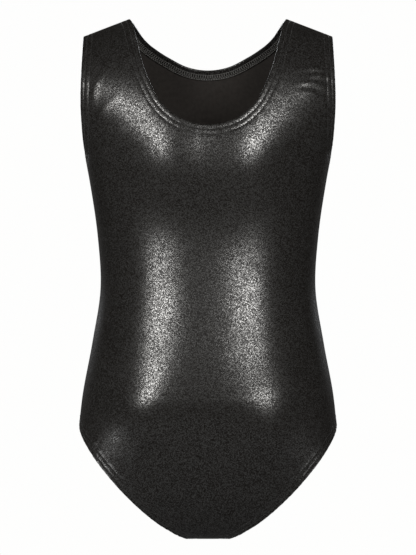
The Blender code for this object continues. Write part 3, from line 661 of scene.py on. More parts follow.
class Cloth:
    """Half a panel's sheet as arrays, ready to be mirrored and raised off the body."""

    def __init__(self, side):
        self.side = side
        self.panel = PANELS[side]
        self.points, self.normals, self.flats = [], [], []
        self.out, self.run, self.into, self.opening = [], [], [], []
        self.faces = []
        self.count = 0

    def add(self, points, normals, flats, out, run, into, opening):
        base = self.count
        self.points.append(points)
        self.normals.append(normals)
        self.flats.append(flats)
        size = len(points)
        self.out.append(np.broadcast_to(out, size))
        self.run.append(np.broadcast_to(run, size))
        self.into.append(np.broadcast_to(into, size))
        self.opening += [opening] * size if isinstance(opening, str) else list(opening)
        self.count += size
        return base

    def interior(self, spacing):
        """The cloth between the hems."""
        outline, marks = half_outline(self.side, spacing)
        seeds = np.vstack([seam_row_seeds(self.side, outline, spacing),
                           hexagonal_seeds(self.side, outline, spacing)])
        size = len(outline)
        ring = [(k, (k + 1) % size) for k in range(size)]
        laid = [Vector(p) for p in (*outline, *seeds)]
        placed, _, faces, origins, _, _ = delaunay_2d_cdt(laid, ring, [], 1, 0.0001)
        flats = np.array([tuple(p) for p in placed])
        points = self.panel.body(flats)
        normals = self.panel.slopes(flats)[2]
        run, into, opening = self.nearest_edges(points)
        seam = np.minimum.reduce([self.panel.reach(flats[:, 1]) - flats[:, 0],
                                  self.panel.top - flats[:, 1], flats[:, 1]])
        roll = seam_roll(np.maximum(seam, 0))
        rows = {name: edge.at(HEM, 0.0) for name, edge in EDGES[self.side].items()}
        for v, came_from in enumerate(origins):
            found = [marks[k] for k in came_from if k < size and marks[k]]
            if found:
                name, k = found[0]
                points[v], normals[v] = rows[name][0][k], rows[name][1][k]
                roll[v] = seam_roll(EDGES[self.side][name].to_seam[k])
                run[v], into[v], opening[v] = EDGES[self.side][name].run[k], HEM, name
        base = self.add(points, normals, flats, roll, run, into, opening)
        self.faces += [[base + v for v in face] for face in faces]

    def nearest_edges(self, points):
        """How far each point is along its nearest edge and into the cloth, and which opening."""
        stations = [(edge.at(0, 0)[0], edge.run, name) for name, edge in EDGES[self.side].items()]
        located = np.vstack([s[0] for s in stations])
        runs = np.concatenate([s[1] for s in stations])
        names = [s[2] for s in stations for _ in s[1]]
        tree = KDTree(len(located))
        for k, point in enumerate(located):
            tree.insert(point, k)
        tree.balance()
        run, into, opening = [], [], []
        for point in points:
            found = tree.find_n(point, 2)
            near = [(k, max(gap, 1e-3)) for _, k, gap in found if names[k] == names[found[0][1]]]
            weights = np.array([1 / gap ** 2 for _, gap in near])
            run.append(float((runs[[k for k, _ in near]] * weights).sum() / weights.sum()))
            into.append(near[0][1])
            opening.append(names[near[0][0]])
        return np.array(run), np.array(into), opening

    def hem(self, name):
        """One opening's turned hem, from its inner limit round the fold to the raw edge."""
        edge = EDGES[self.side][name]
        profile = hem_profile()
        unfolded = HEM - distances_along(profile)
        size = len(edge.run)
        first = None
        for k, (into, out) in enumerate(profile):
            points, normals = edge.at(into, 0.0)
            depth_out = out + hem_rise(edge, into, out)
            flats = edge.places + edge.steps * unfolded[k]
            base = self.add(points, normals, flats, depth_out, edge.run, max(into, 0.0), name)
            if first is None:
                first = base
        for k in range(len(profile) - 1):
            for j in range(size - 1):
                a = first + k * size + j
                self.faces.append([a, a + 1, a + 1 + size, a + size])

    def whole(self):
        """Points in mm, flat places and faces of the full sheet, raised off the body."""
        points = np.vstack(self.points)
        normals = np.vstack(self.normals)
        flats = np.vstack(self.flats)
        out, run, into = (np.concatenate(a) for a in (self.out, self.run, self.into))
        opening = np.array(self.opening)
        run = np.where(np.abs(points[:, 0]) < ON_CENTRE, 0.0, run)
        halves = []
        for flip in (1.0, -1.0):
            turned = np.array((flip, 1.0, 1.0))
            here = points * turned
            rise = out + soft_folds(self.side, here)
            for name in OPENING_LINES:
                mask = (opening == name) & (into < NEAR_EDGE)
                rise[mask] += pucker(self.side, name, run[mask], into[mask], flip, here[mask, 0])
            halves.append(here + normals * turned * rise[:, None])
        count = len(points)
        faces = [*self.faces, *([v + count for v in face[::-1]] for face in self.faces)]
        return np.vstack(halves), np.vstack([flats, flats * (-1, 1)]), faces


def hem_profile():
    """The sheet's outer face across a turned hem, as (into the cloth, outwards)."""
    outer = [HEM, 11.0, 10.4, 9.8, 9.0, 8.0, 6.9, 5.8, 5.3, 5.0, 4.6, 4.0, 3.1, 2.1]
    fold = [(FOLD_ROUND * (1 - math.cos(a)), -HEM_DEPTH / 2 * (1 - math.sin(a)))
            for a in np.linspace(math.pi / 2, -math.pi / 2, 8)]
    turned = [2.3, 3.6, 5.0, 6.4, 8.0, 9.4, 10.4, HEM - RAW_EDGE_SHORT]
    return [(into, 0.0) for into in outer] + fold + [(into, -HEM_DEPTH) for into in turned]


def place(points):
    """Millimetres above the crotch to the frame's metres."""
    return (np.asarray(points, float) - (0.0, 0.0, ORIGIN_HEIGHT)) * MM


def clean_mesh(name, points, faces, flats=None):
    """A welded mesh object in the frame's metres. Its UV map, if any, is the flat cut in metres."""
    mesh = bpy.data.meshes.new(name)
    mesh.from_pydata([tuple(p) for p in place(points)], [], faces)
    if flats is not None:
        loops = np.zeros(len(mesh.loops), int)
        mesh.loops.foreach_get("vertex_index", loops)
        layer = mesh.uv_layers.new(name="cut")
        layer.data.foreach_set("uv", (np.asarray(flats)[loops] * MM).ravel())
    made = bpy.data.objects.new(name, mesh)
    bpy.context.scene.collection.objects.link(made)
    weld(mesh)
    mesh.shade_smooth()
    return made


def weld(mesh):
    """Merges doubled points and turns every face the same way as its neighbours."""
    work = bmesh.new()
    work.from_mesh(mesh)
    bmesh.ops.remove_doubles(work, verts=work.verts, dist=WELD)
    bmesh.ops.dissolve_degenerate(work, edges=work.edges, dist=WELD / 4)
    bmesh.ops.recalc_face_normals(work, faces=work.faces)
    work.to_mesh(mesh)
    work.free()


def look_outwards(made, centre):
    """Turns an open sheet over if its largest face looks towards the centre."""
    work = bmesh.new()
    work.from_mesh(made.data)
    widest = max(work.faces, key=lambda f: f.calc_area())
    if widest.normal.dot(widest.calc_center_median() - Vector(centre)) < 0:
        bmesh.ops.reverse_faces(work, faces=work.faces)
    work.to_mesh(made.data)
    work.free()


def surface_line(side, opening, into, out, flip):
    """A line along a hem at one place across it, on the puckered cloth, with its normals."""
    edge = EDGES[side][opening]
    points, normals = edge.at(into, 0.0)
    turned = np.array((flip, 1.0, 1.0))
    here = points * turned
    rise = out + hem_rise(edge, into, out) + soft_folds(side, here)
    rise += pucker(side, opening, edge.run, np.full(len(edge.run), into), flip, here[:, 0])
    return here + normals * turned * rise[:, None], normals * turned


def over_both_panels(opening, into, out, flip):
    """A line along an opening's hem on the front panel and then on the back one."""
    front = np.hstack(surface_line("front", opening, into, out, flip))
    back = np.hstack(surface_line("back", opening, into, out, flip))[::-1]
    return np.vstack([front[:-1], (front[-1:] + back[:1]) / 2, back[1:]])


def around(opening, into, out, flip=1.0):
    """A closed line round an opening at one place across its hem, with its normals."""
    line = over_both_panels(opening, into, out, flip)
    if opening == "neck":
        right = over_both_panels(opening, into, out, -1.0)
        line = np.vstack([line, right[::-1][1:-1]])
    else:
        line[0] = (line[0] + line[-1]) / 2
        line = line[:-1]
    return line[:, :3], unit(line[:, 3:])


# Every opening, as its name, its kind and the side it is on
OPENINGS = [("neck", "neck", 1.0),
            ("left_armhole", "armhole", 1.0), ("right_armhole", "armhole", -1.0),
            ("left_leg", "leg", 1.0), ("right_leg", "leg", -1.0)]


def ring_mesh(name, lines):
    """A closed band from closed lines, each the same place of its section."""
    size = len(lines[0])
    count = len(lines)
    faces = []
    for j in range(count):
        for k in range(size):
            a, b = j * size + k, j * size + (k + 1) % size
            c, d = (j + 1) % count * size + (k + 1) % size, (j + 1) % count * size + k
            faces.append((a, b, c, d))
    return clean_mesh(name, np.vstack(lines), faces)


def grid_faces(rows, columns):
    """Faces of a sheet whose points are given row by row."""
    return [(k * columns + j, k * columns + j + 1, (k + 1) * columns + j + 1, (k + 1) * columns + j)
            for k in range(rows - 1) for j in range(columns - 1)]


def strip_mesh(name, sections):
    """A closed solid from sections end to end, each a closed outline."""
    size = len(sections[0])
    faces = []
    for k in range(len(sections) - 1):
        for j in range(size):
            a, b = k * size + j, k * size + (j + 1) % size
            faces.append((a, b, b + size, a + size))
    faces.append(tuple(range(size)))
    faces.append(tuple((len(sections) - 1) * size + j for j in range(size)))
    return clean_mesh(name, np.vstack(sections), faces)


def rounded_band(inner, outer, top, bottom, count=9):
    """A flat band's section with soft edges, as (along, out) places."""
    along = np.linspace(inner, outer, count)
    swell = np.sqrt(np.clip(1 - (2 * (along - inner) / (outer - inner) - 1) ** 8, 0.04, 1))
    middle, half = (top + bottom) / 2, (top - bottom) / 2
    upper = [(a, middle + half * s) for a, s in zip(along, swell)]
    lower = [(a, middle - half * s) for a, s in zip(along, swell)]
    return upper + lower[::-1]


# Shader nodes ------------------------------------------------------------------------------------

def add_node(tree, kind, inputs=None, **settings):
    """A node with its settings, and its inputs linked from sockets or set to values."""
    made = tree.nodes.new(kind)
    for name, value in settings.items():
        setattr(made, name, value)
    for name, value in (inputs or {}).items():
        if isinstance(value, bpy.types.NodeSocket):
            tree.links.new(value, made.inputs[name])
        else:
            made.inputs[name].default_value = value
    return made


def maths(tree, operation, *values, clamp=False):
    """The result of a Math node on sockets or numbers."""
    return add_node(tree, "ShaderNodeMath", dict(enumerate(values)), operation=operation,
                    use_clamp=clamp).outputs[0]


def plus(tree, first, second):
    return maths(tree, "ADD", first, second)


def minus(tree, first, second):
    return maths(tree, "SUBTRACT", first, second)


def times(tree, first, second, clamp=False):
    return maths(tree, "MULTIPLY", first, second, clamp=clamp)


def new_group(name, inputs, outputs):
    """An empty shader group with named inputs and outputs, each (name, kind, default)."""
    tree = bpy.data.node_groups.new(name, "ShaderNodeTree")
    for socket, kind, default in inputs:
        made = tree.interface.new_socket(name=socket, in_out="INPUT", socket_type=kind)
        if default is not None:
            made.default_value = default
    for socket, kind in outputs:
        tree.interface.new_socket(name=socket, in_out="OUTPUT", socket_type=kind)
    start = tree.nodes.new("NodeGroupInput")
    end = tree.nodes.new("NodeGroupOutput")
    return tree, start.outputs, end.inputs


def scaled(tree, vector, size):
    """The vector in units of a size."""
    share = maths(tree, "DIVIDE", 1.0, size)
    return add_node(tree, "ShaderNodeVectorMath", {0: vector, "Scale": share},
                    operation="SCALE").outputs[0]


def foil_grain_group():
    """Foil broken into tiny flakes by the stretch of the cloth under it."""
    tree, given, result = new_group(
        "foil_grain",
        [("Vector", "NodeSocketVector", None), ("Flake size", "NodeSocketFloat", 0.0009),
         ("Bare share", "NodeSocketFloat", 0.5)],
        [("Shine", "NodeSocketFloat"), ("Height", "NodeSocketFloat")])
    cells = scaled(tree, given["Vector"], given["Flake size"])
    flakes = add_node(tree, "ShaderNodeTexVoronoi", {"Vector": cells, "Scale": 1.0,
                                                     "Randomness": 1.0})
    tone = add_node(tree, "ShaderNodeSeparateColor", {"Color": flakes.outputs["Color"]}).outputs[0]
    patches = add_node(tree, "ShaderNodeTexNoise", {"Vector": cells, "Scale": 0.5, "Detail": 2.0,
                                                    "Roughness": 0.6}).outputs[0]
    fine = add_node(tree, "ShaderNodeTexNoise", {"Vector": cells, "Scale": 1.6,
                                                 "Detail": 1.0}).outputs[0]
    mixed = plus(tree, times(tree, tone, 0.8),
                 plus(tree, times(tree, patches, 0.4), times(tree, fine, 0.3)))
    above = minus(tree, mixed, given["Bare share"])
    shine = times(tree, above, 2.2, clamp=True)
    tree.links.new(shine, result["Shine"])
    height = plus(tree, times(tree, flakes.outputs["Distance"], -0.8), times(tree, fine, 0.5))
    tree.links.new(height, result["Height"])
    return tree


def knit_loops_group():
    """Wales and courses of a fine jersey, as heights over the flat cut, and a Shade that is painted
    shade, darker between the loops.
    """
    tree, given, result = new_group(
        "knit_loops",
        [("Vector", "NodeSocketVector", None), ("Loop size", "NodeSocketFloat", 0.0009)],
        [("Height", "NodeSocketFloat"), ("Shade", "NodeSocketFloat")])
    cells = scaled(tree, given["Vector"], given["Loop size"])
    parts = add_node(tree, "ShaderNodeSeparateXYZ", {"Vector": cells}).outputs
    across = maths(tree, "ABSOLUTE", minus(tree, maths(tree, "FRACT", parts[0]), 0.5))
    slanted = plus(tree, times(tree, parts[1], 1.3), across)
    course = maths(tree, "ABSOLUTE", minus(tree, maths(tree, "FRACT", slanted), 0.5))
    wale = minus(tree, 1.0, times(tree, across, times(tree, across, 4.0)))
    loop = minus(tree, 1.0, times(tree, course, 1.6))
    height = times(tree, wale, loop)
    tree.links.new(height, result["Height"])
    uneven = add_node(tree, "ShaderNodeTexNoise", {"Vector": cells, "Scale": 0.21,
                                                   "Detail": 3.0}).outputs[0]
    # Painted shade: darker where the loops are low, between them, lighter on their tops, times
    # random unevenness of tone
    shade = times(tree, plus(tree, height, 0.5), plus(tree, uneven, 0.25))
    tree.links.new(shade, result["Shade"])
    return tree


def soft_variation_group():
    """Broad, cloudy variation of tone over a piece."""
    tree, given, result = new_group(
        "soft_variation",
        [("Vector", "NodeSocketVector", None), ("Patch size", "NodeSocketFloat", 0.05),
         ("Strength", "NodeSocketFloat", 0.3)],
        [("Shade", "NodeSocketFloat")])
    cells = scaled(tree, given["Vector"], given["Patch size"])
    cloud = add_node(tree, "ShaderNodeTexNoise", {"Vector": cells, "Scale": 1.0, "Detail": 4.0,
                                                  "Roughness": 0.55}).outputs[0]
    centred = times(tree, minus(tree, cloud, 0.5), given["Strength"])
    tree.links.new(plus(tree, centred, 1.0), result["Shade"])
    return tree


def thread_twist_group():
    """The two plies of a sewing thread, as slanted ridges, and a Shade that paints light on the
    ridges and shade between them.
    """
    tree, given, result = new_group(
        "thread_twist",
        [("Vector", "NodeSocketVector", None), ("Ply size", "NodeSocketFloat", 0.0004)],
        [("Height", "NodeSocketFloat"), ("Shade", "NodeSocketFloat")])
    cells = scaled(tree, given["Vector"], given["Ply size"])
    ridges = add_node(tree, "ShaderNodeTexWave", {"Vector": cells, "Scale": 0.32, "Distortion": 1.2,
                                                  "Detail": 1.0}, wave_type="BANDS",
                      bands_direction="DIAGONAL").outputs["Fac"]
    tree.links.new(ridges, result["Height"])
    # Painted light and shade: lighter on the plies' ridges, darker in the twist between them
    tree.links.new(plus(tree, times(tree, ridges, 0.5), 0.7), result["Shade"])
    return tree


GROUP_MAKERS = {"foil_grain": foil_grain_group, "knit_loops": knit_loops_group,
                "soft_variation": soft_variation_group, "thread_twist": thread_twist_group}


def use_group(tree, name, inputs):
    """One of the shared groups, placed in a material with its own values."""
    shared = bpy.data.node_groups.get(name) or GROUP_MAKERS[name]()
    return add_node(tree, "ShaderNodeGroup", inputs, node_tree=shared).outputs


def new_material(name, constants):
    """A material with a Principled shader and the constants set on its own sockets."""
    made = bpy.data.materials.new(name)
    made.use_nodes = True
    shader = made.node_tree.nodes["Principled BSDF"]
    for socket, value in constants.items():
        shader.inputs[socket].default_value = value
    return made, made.node_tree, shader.inputs


def cut_vector(tree):
    """Place on the flat cut in metres, from the cloth's own UV map."""
    return add_node(tree, "ShaderNodeUVMap", uv_map="cut").outputs["UV"]


def object_vector(tree):
    return add_node(tree, "ShaderNodeTexCoord").outputs["Object"]


def shaded(tree, low, high, share):
    """A colour between two colours."""
    return add_node(tree, "ShaderNodeMix", {"Factor": share, "A": (*low, 1.0), "B": (*high, 1.0)},
                    data_type="RGBA").outputs["Result"]


def ramped(tree, value, low, high):
    """A value from 0 to 1 brought between two numbers."""
    return add_node(tree, "ShaderNodeMapRange",
                    {"Value": value, "To Min": low, "To Max": high}).outputs[0]


def clouded(tree, shade, patch_size, strength):
    """A shade from 0 to 1 with the broad variation of tone laid over it."""
    cloud = use_group(tree, "soft_variation", {"Vector": object_vector(tree),
                                               "Patch size": patch_size, "Strength": strength})
    return times(tree, shade, cloud["Shade"], clamp=True)


def bumped(tree, height, distance, strength=1.0, under=None):
    inputs = {"Height": height, "Distance": distance, "Strength": strength}
    if under is not None:
        inputs["Normal"] = under
    return add_node(tree, "ShaderNodeBump", inputs).outputs["Normal"]


def foil_material(look):
    made, tree, shader = new_material("foil_fabric", {"Specular IOR Level": 0.3})
    cut = cut_vector(tree)
    grain = use_group(tree, "foil_grain", {"Vector": cut, "Flake size": look.flake_size,
                                           "Bare share": look.bare_share})
    knit = use_group(tree, "knit_loops", {"Vector": cut, "Loop size": look.loop_size})
    shine = clouded(tree, grain["Shine"], patch_size=0.035, strength=0.9)
    colour = shaded(tree, look.foil_dark, look.foil_bright, shine)
    tree.links.new(colour, shader["Base Color"])
    tree.links.new(shine, shader["Metallic"])
    tree.links.new(ramped(tree, shine, look.foil_roughness + 0.06, look.foil_roughness - 0.04),
                   shader["Roughness"])
    under = bumped(tree, knit["Height"], 0.00001, 0.6)
    tree.links.new(bumped(tree, grain["Height"], 0.00001, 0.5, under), shader["Normal"])
    return made


def cloth_material(name, low, high, loop_size, roughness, sheen=0.25):
    """Matt jersey, for the foil cloth's inside and the lining, coloured from painted shade between
    its loops to painted light on them.
    """
    made, tree, shader = new_material(name, {"Roughness": roughness, "Sheen Weight": sheen,
                                             "Sheen Roughness": 0.6, "Specular IOR Level": 0.2})
    knit = use_group(tree, "knit_loops", {"Vector": cut_vector(tree), "Loop size": loop_size})
    # The colour runs from low, the painted shade between the loops, to high, the painted light on
    # them, under random tone
    shade = clouded(tree, knit["Shade"], patch_size=0.02, strength=0.5)
    tree.links.new(shaded(tree, low, high, shade), shader["Base Color"])
    tree.links.new(bumped(tree, knit["Height"], 0.00015, 0.8), shader["Normal"])
    return made


def elastic_material(low, high):
    """Ribbed knitted elastic, with painted shade between its ribs and painted light on them."""
    made, tree, shader = new_material("knitted_elastic", {"Roughness": 0.8,
                                                          "Specular IOR Level": 0.25})
    ribs = use_group(tree, "thread_twist", {"Vector": object_vector(tree), "Ply size": 0.0009})
    # The colour runs from low, the painted shade between the ribs, to high, the painted light on
    # them, under random tone
    shade = clouded(tree, ribs["Shade"], patch_size=0.01, strength=0.5)
    tree.links.new(shaded(tree, low, high, shade), shader["Base Color"])
    tree.links.new(bumped(tree, ribs["Height"], 0.0002), shader["Normal"])
    return made


def thread_material(name, low, high, roughness):
    """Spun polyester thread with a visible twist, with painted shade in the twist and painted light
    on the plies.
    """
    made, tree, shader = new_material(name, {"Sheen Weight": 0.3, "Specular IOR Level": 0.4})
    twist = use_group(tree, "thread_twist", {"Vector": object_vector(tree), "Ply size": 0.00035})
    # The colour runs from low, the painted shade in the twist, to high, the painted light on the
    # plies, under random tone
    shade = clouded(tree, twist["Shade"], patch_size=0.015, strength=0.6)
    tree.links.new(shaded(tree, low, high, shade), shader["Base Color"])
    tree.links.new(ramped(tree, twist["Height"], roughness + 0.1, roughness - 0.1),
                   shader["Roughness"])
    tree.links.new(bumped(tree, twist["Height"], 0.00008), shader["Normal"])
    return made


def satin_material(low, high):
    """Woven satin ribbon of the care label, with painted shade between its yarns and painted light
    on them.
    """
    made, tree, shader = new_material("satin_label", {"Sheen Weight": 0.2, "Coat Roughness": 0.5})
    weave = use_group(tree, "knit_loops", {"Vector": cut_vector(tree), "Loop size": 0.0004})
    # The colour runs from low, the painted shade between the yarns, to high, the painted light on
    # them, under random tone
    shade = clouded(tree, weave["Shade"], patch_size=0.012, strength=0.35)
    tree.links.new(shaded(tree, low, high, shade), shader["Base Color"])
    tree.links.new(ramped(tree, weave["Height"], 0.5, 0.36), shader["Roughness"])
    tree.links.new(bumped(tree, weave["Height"], 0.00004), shader["Normal"])
    return made


# Geometry Nodes ----------------------------------------------------------------------------------

def new_geometry_tree(name, inputs):
    """An empty Geometry Nodes tree with named inputs, each (name, kind, default)."""
    tree = bpy.data.node_groups.new(name, "GeometryNodeTree")
    tree.interface.new_socket(name="Geometry", in_out="INPUT", socket_type="NodeSocketGeometry")
    for socket, kind, default in inputs:
        made = tree.interface.new_socket(name=socket, in_out="INPUT", socket_type=kind)
        if default is not None:
            made.default_value = default
    tree.interface.new_socket(name="Geometry", in_out="OUTPUT", socket_type="NodeSocketGeometry")
    return tree, tree.nodes.new("NodeGroupInput").outputs, tree.nodes.new("NodeGroupOutput").inputs


def vector(tree, x=0.0, y=0.0, z=0.0):
    return add_node(tree, "ShaderNodeCombineXYZ", {"X": x, "Y": y, "Z": z}).outputs[0]


def thread_piece(tree, start, middle, end, width, resolution):
    """A short bowed length of thread."""
    bow = add_node(tree, "GeometryNodeCurveQuadraticBezier",
                   {"Resolution": resolution, "Start": start, "Middle": middle, "End": end})
    round_section = add_node(tree, "GeometryNodeCurvePrimitiveCircle",
                             {"Resolution": 6, "Radius": times(tree, width, 0.5)})
    return add_node(tree, "GeometryNodeCurveToMesh",
                    {"Curve": bow.outputs[0], "Profile Curve": round_section.outputs[0],
                     "Fill Caps": True}).outputs[0]


def repeat_along(tree, given, unit_mesh, axis, unevenness_share):
    """The unit repeated along the path, one axis along it and Z or X towards "outward"."""
    path = add_node(tree, "GeometryNodeMeshToCurve", {0: given["Geometry"]}).outputs[0]
    spaced = add_node(tree, "GeometryNodeResampleCurve", {"Curve": path, "Length": given["Pitch"]},
                      mode="LENGTH").outputs[0]
    tangent = tree.nodes.new("GeometryNodeInputTangent").outputs[0]
    outward = add_node(tree, "GeometryNodeInputNamedAttribute", {"Name": "outward"},
                       data_type="FLOAT_VECTOR").outputs[0]
    along = add_node(tree, "FunctionNodeAlignRotationToVector", {"Vector": tangent},
                     axis=axis).outputs[0]
    other = "Z" if axis == "X" else "X"
    facing = add_node(tree, "FunctionNodeAlignRotationToVector",
                      {"Rotation": along, "Vector": outward},
                      axis=other, pivot_axis=axis).outputs[0]
    uneven = add_node(tree, "FunctionNodeRandomValue", {"Seed": given["Seed"]}, data_type="FLOAT")
    tree.links.new(minus(tree, 1.0, given["Unevenness"]), uneven.inputs[2])
    tree.links.new(plus(tree, 1.0, given["Unevenness"]), uneven.inputs[3])
    size = plus(tree, times(tree, minus(tree, uneven.outputs[1], 1.0), unevenness_share), 1.0)
    placed = add_node(tree, "GeometryNodeInstanceOnPoints",
                      {"Points": spaced, "Instance": unit_mesh, "Rotation": facing,
                       "Scale": vector(tree, size, size, size)}).outputs[0]
    real = add_node(tree, "GeometryNodeRealizeInstances", {0: placed}).outputs[0]
    smooth = add_node(tree, "GeometryNodeSetShadeSmooth", {0: real}).outputs[0]
    return add_node(tree, "GeometryNodeSetMaterial", {"Geometry": smooth,
                                                      "Material": given["Thread"]}).outputs[0]


THREAD_INPUTS = [("Pitch", "NodeSocketFloat", 0.0025), ("Thread width", "NodeSocketFloat", 0.0005),
                 ("Unevenness", "NodeSocketFloat", 0.06), ("Seed", "NodeSocketInt", 1),
                 ("Thread", "NodeSocketMaterial", None)]


def needle_stitch_tree():
    """Straight stitches that bow up out of the cloth and go down into it again."""
    tree, given, result = new_geometry_tree("needle_stitches", [
        *THREAD_INPUTS, ("Stitch length", "NodeSocketFloat", 0.002),
        ("Bow", "NodeSocketFloat", 0.0003)])
    half = times(tree, given["Stitch length"], 0.5)
    down = times(tree, given["Bow"], -1.0)
    up = times(tree, given["Bow"], 2.2)
    stitch = thread_piece(tree, vector(tree, times(tree, half, -1.0), 0.0, down),
                          vector(tree, 0.0, 0.0, up), vector(tree, half, 0.0, down),
                          given["Thread width"], resolution=5)
    tree.links.new(repeat_along(tree, given, stitch, "X", 1.0), result["Geometry"])
    return tree


def looper_tree():
    """The looper thread's net between the two needle rows, a crossing and two catches a stitch."""
    tree, given, result = new_geometry_tree("looper_net", [
        *THREAD_INPUTS, ("Half span", "NodeSocketFloat", 0.0027),
        ("Rise", "NodeSocketFloat", 0.0003)])
    half = times(tree, given["Pitch"], 0.5)
    back = times(tree, half, -1.0)
    span, rise = given["Half span"], given["Rise"]
    low = times(tree, span, -1.0)
    width = given["Thread width"]
    joined = tree.nodes.new("GeometryNodeJoinGeometry")
    pieces = [(vector(tree, back, low), vector(tree, back, 0.0, rise), vector(tree, 0.0, span)),
              (vector(tree, 0.0, span), vector(tree, half, 0.0, rise), vector(tree, half, low)),
              (vector(tree, back, span), vector(tree, 0.0, span, rise), vector(tree, half, span)),
              (vector(tree, back, low), vector(tree, 0.0, low, rise), vector(tree, half, low))]
    for start, middle, end in pieces:
        tree.links.new(thread_piece(tree, start, middle, end, width, resolution=3),
                       joined.inputs[0])
    tree.links.new(repeat_along(tree, given, joined.outputs[0], "X", 0.4), result["Geometry"])
    return tree


def overlock_tree():
    """Overlock loops wrapped round a seam allowance's raw edge."""
    tree, given, result = new_geometry_tree("overlock_loops", [
        *THREAD_INPUTS, ("Span", "NodeSocketFloat", 0.005),
        ("Wrap thickness", "NodeSocketFloat", 0.0018), ("Slant", "NodeSocketFloat", 0.25)])
    loop = add_node(tree, "GeometryNodeCurvePrimitiveQuadrilateral",
                    {"Width": given["Span"], "Height": given["Wrap thickness"]}).outputs[0]
    rounded = add_node(tree, "GeometryNodeFilletCurve",
                       {"Curve": loop, "Radius": times(tree, given["Wrap thickness"], 0.45),
                        "Count": 2}, mode="POLY").outputs[0]
    section = add_node(tree, "GeometryNodeCurvePrimitiveCircle",
                       {"Resolution": 5, "Radius": times(tree, given["Thread width"], 0.5)})
    ring = add_node(tree, "GeometryNodeCurveToMesh",
                    {"Curve": rounded, "Profile Curve": section.outputs[0]}).outputs[0]
    slanted = add_node(tree, "GeometryNodeTransform",
                       {"Geometry": ring,
                        "Rotation": vector(tree, 0.0, given["Slant"], 0.0)}).outputs[0]
    tree.links.new(repeat_along(tree, given, slanted, "Z", 0.6), result["Geometry"])
    return tree


TREE_MAKERS = {"needle_stitches": needle_stitch_tree, "looper_net": looper_tree,
               "overlock_loops": overlock_tree}


def along_paths(name, tree_name, paths, values):
    """A plain mesh of what a tree repeats along paths, each (points, outwards, closed)."""
    points, outward, edges = [], [], []
    for line, directions, closed in paths:
        base = len(points)
        points += [tuple(p) for p in place(line)]
        outward += [tuple(d) for d in directions]
        count = len(line)
        edges += [(base + k, base + k + 1) for k in range(count - 1)]
        if closed:
            edges.append((base + count - 1, base))
    mesh = bpy.data.meshes.new(f"{name}_path")
    mesh.from_pydata(points, edges, [])
    layer = mesh.attributes.new("outward", "FLOAT_VECTOR", "POINT")
    layer.data.foreach_set("vector", np.array(outward, np.float32).ravel())
    path = bpy.data.objects.new(f"{name}_path", mesh)
    bpy.context.scene.collection.objects.link(path)
    tree = bpy.data.node_groups.get(tree_name) or TREE_MAKERS[tree_name]()
    modifier = path.modifiers.new(tree_name, "NODES")
    modifier.node_group = tree
    sockets = {s.name: s.identifier for s in tree.interface.items_tree
               if s.item_type == "SOCKET" and s.in_out == "INPUT"}
    for socket, value in values.items():
        modifier[sockets[socket]] = value
    bpy.context.view_layer.update()
    evaluated = path.evaluated_get(bpy.context.evaluated_depsgraph_get())
    result = bpy.data.meshes.new_from_object(evaluated)
    if len(result.polygons) == 0:
        raise RuntimeError(f"{name}: the stitches came out empty")
    path.modifiers.clear()
    bpy.data.objects.remove(path, do_unlink=True)
    for layer in [a for a in result.attributes if a.name == "outward"]:
        result.attributes.remove(layer)
    result.name = name
    made = bpy.data.objects.new(name, result)
    bpy.context.scene.collection.objects.link(made)
    return made


# Settings ----------------------------------------------------------------------------------------

def length_property(name, description, default):
    return bpy.props.FloatProperty(name=name, description=description, default=default, min=0.0,
                                   precision=5, unit="LENGTH")


def colour_property(name, description, default):
    return bpy.props.FloatVectorProperty(name=name, description=description, default=default,
                                         subtype="COLOR", min=0.0, max=1.0)


def share_property(name, description, default):
    return bpy.props.FloatProperty(name=name, description=description, default=default, min=0.0,
                                   max=1.0, subtype="FACTOR")


def angle_property(name, description, degrees):
    return bpy.props.FloatProperty(name=name, description=description,
                                   default=math.radians(degrees), subtype="ANGLE")


class LeotardCloth(bpy.types.PropertyGroup):
    """Sizes and finishes of the foil cloth and the linings."""

    mesh_spacing: length_property("Mesh spacing", "Distance between points inside the panels",
                                  0.003)
    thickness: length_property("Thickness", "Thickness of the foil cloth", FABRIC * MM)
    foil_dark: colour_property("Bare cloth", "Where the foil is broken away",
                               (0.012, 0.0100, 0.0085))
    foil_bright: colour_property("Foil", "Where the foil is whole", (0.22, 0.22, 0.218))
    foil_roughness: share_property("Foil roughness", "Roughness of the foil print", 0.285)
    bare_share: share_property("Bare share", "How much of the foil is broken away", 0.68)
    flake_size: length_property("Flake size", "Size of the foil's flakes", 0.00068)
    loop_size: length_property("Loop size", "Size of the jersey's loops", 0.0008)
    # Painted shade between the inside's loops, and painted light on them
    inside_painted_shade: colour_property("Inside, shaded", "Between the loops of the inside",
                                (0.020, 0.017, 0.015))
    inside_painted_light: colour_property("Inside, lit", "On the loops of the inside", (0.070, 0.061, 0.055))
    inside_roughness: share_property("Inside roughness", "Roughness of the matt inside", 0.92)


